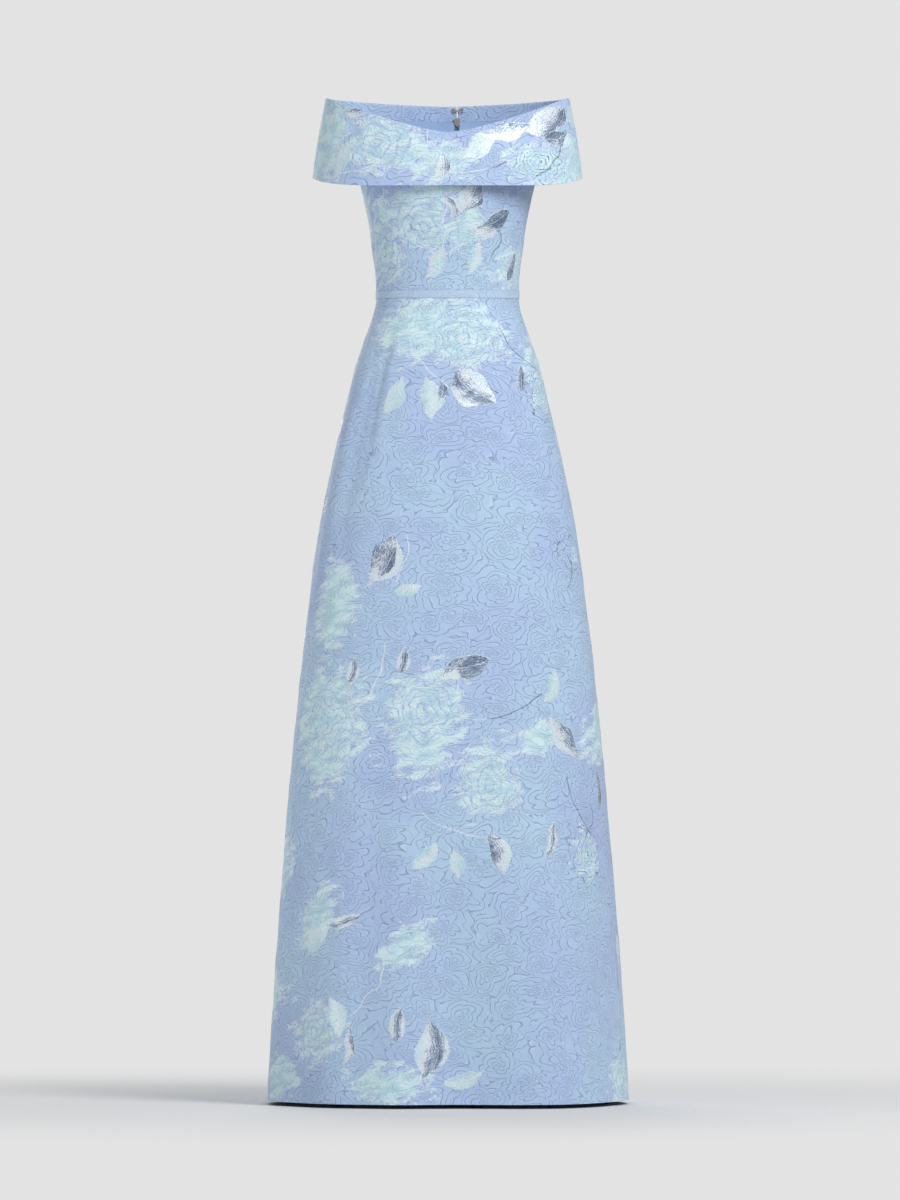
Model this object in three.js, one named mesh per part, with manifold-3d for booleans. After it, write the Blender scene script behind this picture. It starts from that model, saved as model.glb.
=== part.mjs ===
// A floor-length off-the-shoulder gown in blistered jacquard, as it stands when worn, with nobody
// in it. A fold-over collar runs round the bust and over the upper arms, a fitted bodice with
// princess seams hangs from it, a narrow waistband is set in under that, and a gored skirt flares
// to a level hem. The back closes with an invisible zip below a hook and eye.
//
// Millimetres. The origin is the middle of the waist, where the wearer carries the gown.
// +X is the wearer's left, the front faces -Y and +Z is up.
import * as THREE from "three";
import { mergeVertices } from "three/addons/utils/BufferGeometryUtils.js";
import Module from "manifold-3d";

const wasm = await Module();
wasm.setup();

// Thicknesses and gaps.
const CLOTH = 1.6; // the jacquard with its backing
const LINING = 1;
const SEAM = 0.3; // between two pieces that are sewn together
const ZIP_GAP = 1.8; // between the two edges of the back opening

// Heights.
const HEM_Z = -1166;
const BUST_Z = 175;
const WAISTBAND_HALF = 6;

// The outer face of bodice and skirt, one row for each height: half the width, the depth in front
// of and behind the origin, and how square the section is, where 2 is an ellipse.
const SECTIONS = [
  { z: 262, width: 131, front: 106, back: 99, square: 2.2 },
  { z: 215, width: 131, front: 116, back: 97, square: 2.2 },
  { z: 175, width: 129, front: 122, back: 95, square: 2.2 },
  { z: 158, width: 126.5, front: 121, back: 94, square: 2.2 },
  { z: 135, width: 121, front: 117, back: 93, square: 2.2 },
  { z: 100, width: 114, front: 108, back: 92, square: 2.2 },
  { z: 65, width: 109.5, front: 100, back: 91, square: 2.2 },
  { z: 30, width: 104.8, front: 94.5, back: 90, square: 2.2 },
  { z: 0, width: 103.8, front: 93, back: 90, square: 2.2 },
  { z: -16, width: 104.5, front: 94, back: 91, square: 2.25 },
  { z: -36, width: 110, front: 98, back: 96, square: 2.4 },
  { z: -65, width: 120.5, front: 105, back: 105, square: 2.55 },
  { z: -94, width: 130.5, front: 111, back: 114, square: 2.65 },
  { z: -123, width: 138.5, front: 116, back: 122, square: 2.7 },
  { z: -152, width: 145.5, front: 121, back: 129, square: 2.75 },
  { z: -210, width: 159.5, front: 130, back: 141, square: 2.75 },
  { z: -268, width: 172.5, front: 139, back: 151, square: 2.7 },
  { z: -326, width: 184, front: 147, back: 161, square: 2.65 },
  { z: -384, width: 193.5, front: 155, back: 170, square: 2.55 },
  { z: -442, width: 201, front: 163, back: 178, square: 2.5 },
  { z: -500, width: 208.5, front: 170, back: 186, square: 2.45 },
  { z: -587, width: 218.5, front: 180, back: 196, square: 2.4 },
  { z: -674, width: 227.5, front: 189, back: 206, square: 2.35 },
  { z: -761, width: 235, front: 197, back: 214, square: 2.3 },
  { z: -848, width: 242.5, front: 204, back: 222, square: 2.3 },
  { z: -935, width: 249.5, front: 211, back: 230, square: 2.3 },
  { z: -1022, width: 255.5, front: 217, back: 237, square: 2.3 },
  { z: -1109, width: 261, front: 223, back: 243, square: 2.3 },
  { z: -1166, width: 263.5, front: 227, back: 247, square: 2.3 },
];

// The skirt's largest folds. A positive depth is a trough and a negative one a ridge. Angles go
// from the centre front towards the wearer's left, at the fold's top and at its foot.
const FOLDS = [
  { top: -50, foot: -56, topZ: -14, peakZ: -150, footZ: -480, halfWidth: 17, depth: 6 },
  { top: -64, foot: -66, topZ: -30, peakZ: -240, footZ: -560, halfWidth: 24, depth: -4 },
  { top: 49, foot: 56, topZ: -14, peakZ: -120, footZ: -360, halfWidth: 18, depth: 4 },
  { top: 64, foot: 50, topZ: -160, peakZ: -420, footZ: -760, halfWidth: 26, depth: 4.5 },
  { top: -4, foot: 5, topZ: -660, peakZ: -1060, footZ: -1800, halfWidth: 70, depth: 14 },
  { top: -20, foot: -17, topZ: -560, peakZ: -1000, footZ: -1800, halfWidth: 42, depth: -5 },
  { top: -27, foot: -31, topZ: -380, peakZ: -900, footZ: -1700, halfWidth: 28, depth: 5 },
  { top: 30, foot: 36, topZ: -620, peakZ: -1080, footZ: -1800, halfWidth: 60, depth: -7 },
  { top: -58, foot: -60, topZ: -700, peakZ: -1100, footZ: -1800, halfWidth: 50, depth: 8 },
  { top: 66, foot: 70, topZ: -640, peakZ: -1080, footZ: -1800, halfWidth: 46, depth: 7 },
  { top: 104, foot: 108, topZ: -240, peakZ: -760, footZ: -1700, halfWidth: 50, depth: 9 },
  { top: 128, foot: 132, topZ: -60, peakZ: -620, footZ: -1700, halfWidth: 48, depth: -9 },
  { top: 152, foot: 154, topZ: -120, peakZ: -820, footZ: -1800, halfWidth: 52, depth: 13 },
  { top: -102, foot: -107, topZ: -300, peakZ: -820, footZ: -1700, halfWidth: 48, depth: 10 },
  { top: -131, foot: -134, topZ: -60, peakZ: -560, footZ: -1700, halfWidth: 50, depth: -10 },
  { top: -158, foot: -156, topZ: -140, peakZ: -780, footZ: -1800, halfWidth: 50, depth: 12 },
];

// The fold-over collar. Its flap hangs from a rolled edge, its facing turns down inside.
const COLLAR = {
  edge: { width: 177, front: 112, back: 106, square: 2.15 }, // plan of the rolled edge
  foot: { width: 196, front: 133, back: 114, square: 2.3 }, // plan of the flap's lower edge
  flap: 2, // thickness of the flap, cloth on cloth
  gap: 1.2, // between flap and facing
  facing: 23, // height of the facing
  bulge: 1.6, // how far the flap swells halfway down
  sideTopZ: 285.5,
  frontDip: 52.5, // the rolled edge sinks this far at the centre front
  backDip: 8.5,
  edgeCurve: 1.4, // how the dip spreads from the centre to the sides
  sideFootZ: 170,
  centreFootZ: 159,
  footCurve: 6,
};
const COLLAR_DEPTH = COLLAR.flap + COLLAR.gap + CLOTH;

// Seam lines, as angles from the centre front. The back opening sits a little to the wearer's left
// at the neck and comes to the middle at the waist.
const PRINCESS_SKIRT = 41.5;
const PRINCESS_BUST = 48;
const SIDE_SEAM = 90;
const OPENING_SHIFT = 14;
const ARMHOLE = { front: 56, back: 126, underarmZ: 178, curve: 1.4, lean: 30 };

const { clamp, degToRad, lerp, radToDeg, smoothstep } = THREE.MathUtils;
const spread = (steps, from, to) => Array.from({ length: steps + 1 }, (_, i) => lerp(from, to, i / steps));

// The section at a height, on smooth curves through the table's rows.
function sectionAt(z) {
  const last = SECTIONS.length - 1;
  const found = SECTIONS.findIndex((row) => row.z < z);
  const i = found < 0 ? last : Math.max(1, found);
  const [above, below] = [SECTIONS[i - 1], SECTIONS[i]];
  const [before, after] = [SECTIONS[Math.max(0, i - 2)], SECTIONS[Math.min(last, i + 1)]];
  const span = below.z - above.z;
  const t = clamp((z - above.z) / span, 0, 1);
  const [t2, t3] = [t * t, t * t * t];
  const value = (key) => {
    const startSlope = ((below[key] - before[key]) / (below.z - before.z)) * span;
    const endSlope = ((after[key] - above[key]) / (after.z - above.z)) * span;
    return (
      above[key] * (2 * t3 - 3 * t2 + 1) +
      startSlope * (t3 - 2 * t2 + t) +
      below[key] * (3 * t2 - 2 * t3) +
      endSlope * (t3 - t2)
    );
  };
  return { width: value("width"), front: value("front"), back: value("back"), square: value("square") };
}

// The point of a squared ellipse that lies in a direction from its middle.
function planPoint({ width, front, back, square }, degrees) {
  const [s, c] = [Math.sin(degToRad(degrees)), Math.cos(degToRad(degrees))];
  const depth = c >= 0 ? front : back;
  const radius = (Math.abs(s / width) ** square + Math.abs(c / depth) ** square) ** (-1 / square);
  return new THREE.Vector2(radius * s, -radius * c);
}

// How far forward or back that outline lies at a distance from the centre line.
function planDepth({ width, front, back, square }, x, behind) {
  const share = (1 - Math.min(1, Math.abs(x) / width) ** square) ** (1 / square);
  return behind ? back * share : -front * share;
}

function planOutward(plan, degrees) {
  const step = 0.5;
  const along = planPoint(plan, degrees + step).sub(planPoint(plan, degrees - step));
  return new THREE.Vector2(along.y, -along.x).normalize();
}

// The heights of the collar's rolled edge and of the flap's lower edge.
function collarEdgeZ(x, behind) {
  const share = Math.min(1, Math.abs(x) / COLLAR.edge.width) ** COLLAR.edgeCurve;
  return COLLAR.sideTopZ - (behind ? COLLAR.backDip : COLLAR.frontDip) * (1 - share);
}

function collarFootZ(x) {
  const share = Math.min(1, Math.abs(x) / COLLAR.foot.width) ** COLLAR.footCurve;
  return lerp(COLLAR.centreFootZ, COLLAR.sideFootZ, share);
}

// The facing's outer side, which the bodice continues below the neck seam.
const FACING_PLAN = {
  width: COLLAR.edge.width - COLLAR.flap - COLLAR.gap,
  front: COLLAR.edge.front - COLLAR.flap - COLLAR.gap,
  back: COLLAR.edge.back - COLLAR.flap - COLLAR.gap,
  square: COLLAR.edge.square,
};
const neckSeamZ = (x, behind) => collarEdgeZ(x, behind) - COLLAR.facing - SEAM;

// The bodice's top edge follows the neck seam and drops away at each armhole.
function bodiceTopZ(degrees) {
  const behind = Math.abs(degrees) > SIDE_SEAM;
  let seamZ = COLLAR.sideTopZ - COLLAR.facing;
  // The seam's height depends on the distance from the centre line, and that on the height.
  for (let pass = 0; pass < 4; pass++) seamZ = neckSeamZ(planPoint(sectionAt(seamZ), degrees).x, behind);
  const start = behind ? ARMHOLE.back : ARMHOLE.front;
  const share = clamp((Math.abs(degrees) - start) / (SIDE_SEAM - start), 0, 1);
  return lerp(seamZ, ARMHOLE.underarmZ, Math.sin((share * Math.PI) / 2) ** ARMHOLE.curve);
}

function foldDepth(degrees, z, plan) {
  let depth = 0;
  for (const fold of FOLDS) {
    if (z > fold.topZ || z < fold.footZ) continue;
    const centre = lerp(fold.top, fold.foot, (z - fold.topZ) / (fold.footZ - fold.topZ));
    const turn = THREE.MathUtils.euclideanModulo(degrees - centre + 180, 360) - 180;
    const away = (degToRad(turn) * planPoint(plan, centre).length()) / fold.halfWidth;
    const rise = smoothstep(-z, -fold.topZ, -fold.peakZ);
    const fall = 1 - smoothstep(-z, -fold.peakZ, -fold.footZ);
    depth += fold.depth * rise * fall * Math.exp(-away * away);
  }
  return depth;
}

// How far the bodice has left the collar at an armhole, where 1 is still held by it.
function heldByCollar(degrees, behind) {
  const past = behind ? ARMHOLE.back - Math.abs(degrees) : Math.abs(degrees) - ARMHOLE.front;
  return 1 - smoothstep(past, 0, ARMHOLE.lean);
}

// The outer face of bodice and skirt. Above the bust it leans out to meet the collar's facing.
function gownFace(degrees, z) {
  const plan = sectionAt(z);
  const point = planPoint(plan, degrees);
  if (z > BUST_Z) {
    const behind = Math.abs(degrees) > SIDE_SEAM;
    const lean = heldByCollar(degrees, behind) * smoothstep(z, BUST_Z, neckSeamZ(point.x, behind));
    point.y = lerp(point.y, planDepth(FACING_PLAN, point.x, behind), lean);
  } else if (z < 0) {
    point.addScaledVector(planOutward(plan, degrees), -foldDepth(degrees, z, plan));
  }
  return new THREE.Vector3(point.x, point.y, z);
}

// That face moved out at the same height, as far as a wall of that thickness reaches there.
function gownOffset(degrees, z, out) {
  const along = gownFace(degrees + 0.5, z).sub(gownFace(degrees - 0.5, z));
  const up = gownFace(degrees, z + 1).sub(gownFace(degrees, z - 1));
  const level = along.cross(up).normalize().setZ(0);
  return gownFace(degrees, z).addScaledVector(level, out / level.lengthSq());
}

// The angle that lies a distance along the cloth from another angle.
function angleBeside(degrees, z, distance) {
  const perDegree = gownFace(degrees + 0.5, z).distanceTo(gownFace(degrees - 0.5, z));
  return degrees + distance / perDegree;
}

const princessSeam = (z) => lerp(PRINCESS_SKIRT, PRINCESS_BUST, smoothstep(z, 45, 130));

function openingAngle(z) {
  const x = OPENING_SHIFT * smoothstep(z, 0, BUST_Z);
  const plan = sectionAt(z);
  return radToDeg(Math.atan2(x, -planDepth(plan, x, true)));
}

// The rows of a panel, as heights. Ease draws them together at the top.
const rowHeights = (rows, topZ, footZ, ease = 1) =>
  spread(rows, 0, 1).map((down) => lerp(topZ, footZ, down ** ease));

const BODICE_ROWS = 8;
const BODICE_FOOT_Z = WAISTBAND_HALF + SEAM / 2;
const SKIRT_ROWS = 18;
const SKIRT_EASE = 1.4; // the outline turns most over the hip
const SKIRT_TOP_Z = -BODICE_FOOT_Z;
const skirtRows = rowHeights(SKIRT_ROWS, SKIRT_TOP_Z, HEM_Z, SKIRT_EASE);
const ZIP_FOOT_Z = skirtRows[5];

const openingGap = (z) => lerp(SEAM, ZIP_GAP, smoothstep(z, ZIP_FOOT_Z, ZIP_FOOT_Z + 20));
const seamGap = () => SEAM;

const bodiceRows = (degrees) => rowHeights(BODICE_ROWS, bodiceTopZ(degrees), BODICE_FOOT_Z);

// A closed mesh whose faces are turned outwards.
function closedGeometry(points, triangles) {
  const sixVolumes = triangles.reduce(
    (sum, [a, b, c]) => sum + points[a].dot(points[b].clone().cross(points[c])),
    0
  );
  const index = triangles.flatMap(([a, b, c]) => (sixVolumes > 0 ? [a, b, c] : [a, c, b]));
  const geometry = new THREE.BufferGeometry().setFromPoints(points);
  geometry.setIndex(index);
  return geometry;
}

// A wall between two grids of points, of the same number of rows and columns.
function wallGeometry(outer, inner) {
  const [rows, columns] = [outer.length, outer[0].length];
  const at = (row, column, side) => (side * rows + row) * columns + column;
  const triangles = [];
  const quad = (a, b, c, d) => triangles.push([a, b, c], [a, c, d]);
  for (let r = 0; r + 1 < rows; r++) {
    for (let c = 0; c + 1 < columns; c++) {
      quad(at(r, c, 0), at(r + 1, c, 0), at(r + 1, c + 1, 0), at(r, c + 1, 0));
      quad(at(r, c, 1), at(r, c + 1, 1), at(r + 1, c + 1, 1), at(r + 1, c, 1));
    }
    quad(at(r, 0, 0), at(r, 0, 1), at(r + 1, 0, 1), at(r + 1, 0, 0));
    quad(at(r, columns - 1, 0), at(r + 1, columns - 1, 0), at(r + 1, columns - 1, 1), at(r, columns - 1, 1));
  }
  for (let c = 0; c + 1 < columns; c++) {
    quad(at(0, c, 0), at(0, c + 1, 0), at(0, c + 1, 1), at(0, c, 1));
    quad(at(rows - 1, c, 0), at(rows - 1, c, 1), at(rows - 1, c + 1, 1), at(rows - 1, c + 1, 0));
  }
  return closedGeometry([...outer.flat(), ...inner.flat()], triangles);
}

// A solid through closed sections of the same number of points, capped at both ends.
function sweptGeometry(sections, flatten) {
  const count = sections[0].length;
  const triangles = [];
  for (let s = 0; s + 1 < sections.length; s++) {
    for (let i = 0; i < count; i++) {
      const [a, b] = [s * count + i, s * count + ((i + 1) % count)];
      triangles.push([a, b, b + count], [a, b + count, a + count]);
    }
  }
  const end = (sections.length - 1) * count;
  const outline = sections[0].map(flatten);
  const { area, triangulateShape } = THREE.ShapeUtils;
  for (const triangle of triangulateShape(outline, [])) {
    // The first cap is wound against the outline and the last one with it.
    const withOutline = area(triangle.map((i) => outline[i])) * area(outline) > 0;
    const [a, b, c] = withOutline ? triangle : triangle.toReversed();
    triangles.push([c, b, a], [end + a, end + b, end + c]);
  }
  return closedGeometry(sections.flat(), triangles);
}

// The panels between the seams: their edges as angles, the gap at each edge and their columns.
// Beyond 180 degrees the wearer's right back panel comes round from the other side.
const PANELS = {
  front: { from: (z) => -princessSeam(z), to: princessSeam, gaps: [seamGap, seamGap], columns: 16 },
  side_left: { from: princessSeam, to: () => SIDE_SEAM, gaps: [seamGap, seamGap], columns: 8 },
  side_right: { from: () => -SIDE_SEAM, to: (z) => -princessSeam(z), gaps: [seamGap, seamGap], columns: 8 },
  back_left: { from: () => SIDE_SEAM, to: openingAngle, gaps: [seamGap, openingGap], columns: 13 },
  back_right: {
    from: (z) => openingAngle(z) - 360,
    to: () => -SIDE_SEAM,
    gaps: [openingGap, seamGap],
    columns: 13,
  },
};

// A panel's wall. Its heights are a function of the angle.
function panelGeometry({ from, to, gaps, columns }, heights, outside, thickness) {
  const grid = (out) =>
    heights(0).map((_, row) =>
      spread(columns, 0, 1).map((across) => {
        let degrees = lerp(from(0), to(0), across);
        let z = 0;
        // The edges' angles depend on the height, and the height on the angle.
        for (let pass = 0; pass < 4; pass++) {
          z = heights(degrees)[row];
          const start = angleBeside(from(z), z, gaps[0](z) / 2);
          const end = angleBeside(to(z), z, -gaps[1](z) / 2);
          degrees = lerp(start, end, across);
        }
        return gownOffset(degrees, z, out);
      })
    );
  return wallGeometry(grid(outside), grid(outside - thickness));
}

// The collar's section at an angle: up the flap's outer face, over the roll, down the facing's
// inner side, up its outer side and down behind the flap.
function collarSection(degrees) {
  const edge = planPoint(COLLAR.edge, degrees);
  const foot = planPoint(COLLAR.foot, degrees);
  const outward = planOutward(COLLAR.edge, degrees);
  const behind = Math.abs(degrees) > SIDE_SEAM;
  const roll = COLLAR_DEPTH / 2;
  const springZ = collarEdgeZ(edge.x, behind) - roll;
  const facingFootZ = springZ + roll - COLLAR.facing;
  const place = (base, inset, z) =>
    new THREE.Vector3(base.x - outward.x * inset, base.y - outward.y * inset, z);
  const flap = (share, inset) => {
    const swell = COLLAR.bulge * 4 * share * (1 - share);
    return place(edge.clone().lerp(foot, share), inset - swell, lerp(springZ, collarFootZ(foot.x), share));
  };
  const arc = (radius, centre, z, angle) =>
    place(edge, centre - radius * Math.cos(angle), z + radius * Math.sin(angle));
  const hollow = COLLAR.gap / 2;
  return [
    ...spread(4, 1, 0).map((share) => flap(share, 0)),
    ...spread(4, 0, Math.PI).slice(1).map((angle) => arc(roll, roll, springZ, angle)),
    place(edge, COLLAR_DEPTH, facingFootZ),
    place(edge, COLLAR_DEPTH - CLOTH, facingFootZ),
    ...spread(2, Math.PI, 0).map((angle) => arc(hollow, COLLAR.flap + hollow, springZ - 1, angle)),
    ...spread(4, 0, 1).slice(1).map((share) => flap(share, COLLAR.flap)),
  ];
}

// In the plane of the collar's section, so that its end can be filled.
const upright = (point) => new THREE.Vector2(Math.hypot(point.x, point.y), point.z);

function collarGeometry(from, to, steps) {
  return sweptGeometry(spread(steps, from, to).map(collarSection), upright);
}

// An angle on the collar's edge at a distance from another.
function collarBeside(degrees, distance) {
  const perDegree = planPoint(COLLAR.edge, degrees + 0.5).distanceTo(planPoint(COLLAR.edge, degrees - 0.5));
  return degrees + distance / perDegree;
}

// Half of the zip: a tape inside the opening with the coil along its edge.
const TAPE = { clear: 0.8, width: 10, thickness: 0.8, coilWidth: 2.2, coilDepth: 2.3, topZ: 246.5 };

function tapeGeometry(side) {
  const near = ZIP_GAP / 2 + SEAM;
  const face = -CLOTH - TAPE.clear;
  const outline = [
    [near, face],
    [TAPE.width, face],
    [TAPE.width, face - TAPE.thickness],
    [near + TAPE.coilWidth, face - TAPE.thickness],
    [near + TAPE.coilWidth, face - TAPE.coilDepth],
    [near, face - TAPE.coilDepth],
  ];
  const rows = [...bodiceRows(openingAngle(BUST_Z)), ...skirtRows];
  const heights = [TAPE.topZ, ...rows.filter((z) => z < TAPE.topZ && z >= ZIP_FOOT_Z)];
  const sections = heights.map((z) =>
    outline.map(([distance, out]) => gownOffset(angleBeside(openingAngle(z), z, -side * distance), z, out))
  );
  return sweptGeometry(sections, (point) => new THREE.Vector2(point.x, point.y));
}

// A closed geometry as a solid that can be joined to others, and back again.
function solid(geometry) {
  const bare = new THREE.BufferGeometry();
  bare.setAttribute("position", geometry.getAttribute("position"));
  if (geometry.index) bare.setIndex(geometry.index);
  const merged = mergeVertices(bare, 1e-4);
  return new wasm.Manifold(
    new wasm.Mesh({
      numProp: 3,
      vertProperties: merged.attributes.position.array,
      triVerts: new Uint32Array(merged.index.array),
    })
  );
}

function fromSolid(manifold) {
  const { vertProperties, triVerts } = manifold.getMesh();
  const geometry = new THREE.BufferGeometry();
  geometry.setAttribute("position", new THREE.BufferAttribute(new Float32Array(vertProperties), 3));
  geometry.setIndex(new THREE.BufferAttribute(new Uint32Array(triVerts), 1));
  return geometry;
}

const extrude = (shape, depth) =>
  new THREE.ExtrudeGeometry(shape, { depth, bevelEnabled: false, curveSegments: 8 });

// An upright plate from an outline in x and z, with its inner side at a depth.
const plateGeometry = (shape, thickness, y) =>
  extrude(shape, thickness).rotateX(Math.PI / 2).translate(0, y + thickness, 0);

// A symmetric outline through half widths at heights.
function dropShape(halfWidths) {
  const curve = new THREE.SplineCurve(halfWidths.map(([x, z]) => new THREE.Vector2(x, z)));
  const right = curve.getPoints(14);
  const left = right.slice(1, -1).map((point) => new THREE.Vector2(-point.x, point.y));
  return new THREE.Shape([right[0], ...left, right.at(-1), ...right.slice(1, -1).reverse()]);
}

// The slider stands across the opening at the foot of the facing: a shield-shaped plate inside,
// a neck through the opening, and a small plate outside with an arch for the pull.
const SLIDER = {
  z: 254,
  plate: { halfWidths: [[0, 6.4], [3.4, 5.4], [4.3, 1.6], [3.2, -3.6], [0, -6.4]], thickness: 1.4 },
  neck: { width: 0.9, height: 6 },
  outer: { halfWidths: [[0, 4], [2.2, 3], [2.4, 0], [1.8, -3], [0, -4]], thickness: 0.8 },
  arch: { thickness: 1, footHalf: 2.4, shoulderHalf: 2, tipHalf: 1.3, reach: 1.6, hole: 0.95, axisOut: 3.2 },
};
const PULL = {
  thickness: 1,
  halfWidths: [[0, 0.5], [1.7, 0.45], [2, -1.6], [2.1, -4], [2.6, -12], [3.4, -20], [2.8, -24.4], [0, -26]],
  length: 26,
  window: { half: 1, top: -0.5, foot: -3.9 },
  eye: { half: 1.2, top: -18.6, foot: -22.4 },
};

const wallInnerY = planDepth(FACING_PLAN, OPENING_SHIFT, true) - CLOTH;
const liningInnerY = wallInnerY - TAPE.clear - TAPE.thickness - SEAM - LINING;

// The flap's outer face at the opening, at a height.
function flapFaceY(z) {
  const springZ = collarEdgeZ(OPENING_SHIFT, true) - COLLAR_DEPTH / 2;
  const share = (springZ - z) / (springZ - collarFootZ(OPENING_SHIFT));
  const [edgeY, footY] = [COLLAR.edge, COLLAR.foot].map((plan) => planDepth(plan, OPENING_SHIFT, true));
  return lerp(edgeY, footY, share) + COLLAR.bulge * 4 * share * (1 - share);
}

const pullAxisY = flapFaceY(SLIDER.z) + SLIDER.arch.axisOut;

function sliderGeometry() {
  const { plate, neck, outer, arch } = SLIDER;
  const plateY = liningInnerY - SEAM - plate.thickness;
  const outerY = flapFaceY(SLIDER.z - neck.height / 2) + SEAM;
  const inside = solid(plateGeometry(dropShape(plate.halfWidths), plate.thickness, plateY));
  const outside = solid(plateGeometry(dropShape(outer.halfWidths), outer.thickness, outerY));
  const [neckStart, neckEnd] = [plateY + plate.thickness / 2, outerY + outer.thickness / 2];
  const neckBox = new THREE.BoxGeometry(neck.width, neckEnd - neckStart, neck.height);
  const neckPiece = solid(neckBox.translate(0, (neckStart + neckEnd) / 2, 0));
  const tipY = pullAxisY + arch.reach;
  const side = [
    [neckEnd, arch.footHalf],
    [pullAxisY, arch.shoulderHalf],
    [tipY - 0.4, arch.tipHalf],
  ];
  const archShape = new THREE.Shape([
    ...side.map(([y, z]) => new THREE.Vector2(y, -z)),
    new THREE.Vector2(tipY, 0),
    ...side.map(([y, z]) => new THREE.Vector2(y, z)).reverse(),
  ]);
  archShape.holes.push(new THREE.Path().absarc(pullAxisY, 0, arch.hole, 0, 2 * Math.PI, true));
  // The outline's x and y become y and z.
  const archPlate = extrude(archShape, arch.thickness)
    .translate(0, 0, -arch.thickness / 2)
    .applyMatrix4(new THREE.Matrix4().makeBasis(
      new THREE.Vector3(0, 1, 0),
      new THREE.Vector3(0, 0, 1),
      new THREE.Vector3(1, 0, 0)
    ));
  return fromSolid(inside.add(neckPiece).add(outside).add(solid(archPlate)));
}

// The pull hangs from the arch by the bar at its top and lies along the flap.
function pullGeometry() {
  const shape = dropShape(PULL.halfWidths);
  for (const { half, top, foot } of [PULL.window, PULL.eye]) {
    const corners = [[-half, top], [half, top], [half, foot], [-half, foot]];
    shape.holes.push(new THREE.Path(corners.map(([x, z]) => new THREE.Vector2(x, z))));
  }
  const run = flapFaceY(SLIDER.z - PULL.length) - flapFaceY(SLIDER.z);
  const plate = plateGeometry(shape, PULL.thickness, -PULL.thickness / 2);
  return plate.rotateX(Math.atan2(run, PULL.length));
}

// The hook is sewn to the wearer's right edge and the eye to the left one, inside the rolled edge.
// Their outlines lie flat on the facing, with y going in from it.
const HOOK_Z = 270.5;
const EYE_REACH = 9.3; // from the opening to the far side of the eye's rings
const hookFaceY = planDepth(FACING_PLAN, OPENING_SHIFT + EYE_REACH, true) - CLOTH - 1.5 * SEAM;
const METAL = 0.8;
const RING = { outer: 1.9, inner: 0.9, z: 2.1 };

function ringPair(x) {
  const [upper, lower] = [RING.z, -RING.z].map((z) => {
    const shape = new THREE.Shape().absarc(x, z, RING.outer, 0, 2 * Math.PI, false);
    shape.holes.push(new THREE.Path().absarc(x, z, RING.inner, 0, 2 * Math.PI, true));
    return solid(plateGeometry(shape, METAL, -METAL));
  });
  return upper.add(lower);
}

function hookGeometry() {
  const { startX, bendX, tipX, bend, width } = { startX: -5, bendX: 2, tipX: -1.2, bend: 1.75, width: 2.2 };
  // The strip's edge in plan: along the facing, round the bend and back to the tip.
  const shape = new THREE.Shape();
  shape.moveTo(startX, 0);
  shape.lineTo(bendX, 0);
  shape.absarc(bendX, -bend, bend, Math.PI / 2, -Math.PI / 2, true);
  shape.lineTo(tipX, -2 * bend);
  shape.lineTo(tipX, METAL - 2 * bend);
  shape.lineTo(bendX, METAL - 2 * bend);
  shape.absarc(bendX, -bend, bend - METAL, -Math.PI / 2, Math.PI / 2, false);
  shape.lineTo(startX, -METAL);
  const strip = solid(extrude(shape, width).translate(0, 0, -width / 2));
  return fromSolid(strip.add(ringPair(startX - 0.6)));
}

function eyeGeometry() {
  // Half of the loop from a sewn ring to the bar that the hook holds: x, y and z.
  const half = [
    [6.6, -0.45, 3.2],
    [4.6, -0.7, 3],
    [2.8, -1.5, 2.3],
    [1.7, -1.76, 1.2],
  ];
  const points = [...half, [1.45, -1.76, 0], ...half.map(([x, y, z]) => [x, y, -z]).reverse()];
  const loop = new THREE.CatmullRomCurve3(points.map((point) => new THREE.Vector3(...point)));
  const section = new THREE.Shape().absarc(0, 0, 0.36, 0, 2 * Math.PI, false);
  const bar = new THREE.ExtrudeGeometry(section, { steps: 16, extrudePath: loop, curveSegments: 4 });
  return fromSolid(solid(bar).add(ringPair(EYE_REACH - RING.outer)));
}

// The finished gown.
const group = new THREE.Group();

const finish = (color, roughness, metalness = 0) =>
  new THREE.MeshStandardMaterial({ color, roughness, metalness });

function piece(name, geometry, material, x = 0, y = 0, z = 0) {
  const mesh = new THREE.Mesh(geometry, material.clone());
  mesh.name = name;
  mesh.position.set(x, y, z);
  group.add(mesh);
}

const jacquard = finish(0xb1cae4, 0.55);
const trim = finish(0xbad2e9, 0.5);
const satin = finish(0xa1c0e5, 0.4);
const tapeCloth = finish(0x6d7f99, 0.7);
const steel = finish(0xb9b4a6, 0.3, 0.9);

for (const [name, panel] of Object.entries(PANELS)) {
  piece(`bodice_${name}`, panelGeometry(panel, bodiceRows, 0, CLOTH), jacquard);
  piece(`skirt_${name}`, panelGeometry(panel, () => skirtRows, 0, CLOTH), jacquard);
}

const WAISTBAND_OUT = 0.6; // it is doubled and stands a little proud
const WAISTBANDS = {
  waistband_front: PANELS.front,
  waistband_left: { ...PANELS.back_left, from: princessSeam, columns: 20 },
  waistband_right: { ...PANELS.back_right, to: (z) => -princessSeam(z), columns: 20 },
};
for (const [name, panel] of Object.entries(WAISTBANDS)) {
  const rows = rowHeights(2, WAISTBAND_HALF - SEAM / 2, SEAM / 2 - WAISTBAND_HALF);
  piece(name, panelGeometry(panel, () => rows, WAISTBAND_OUT, CLOTH + WAISTBAND_OUT), trim);
}

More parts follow.
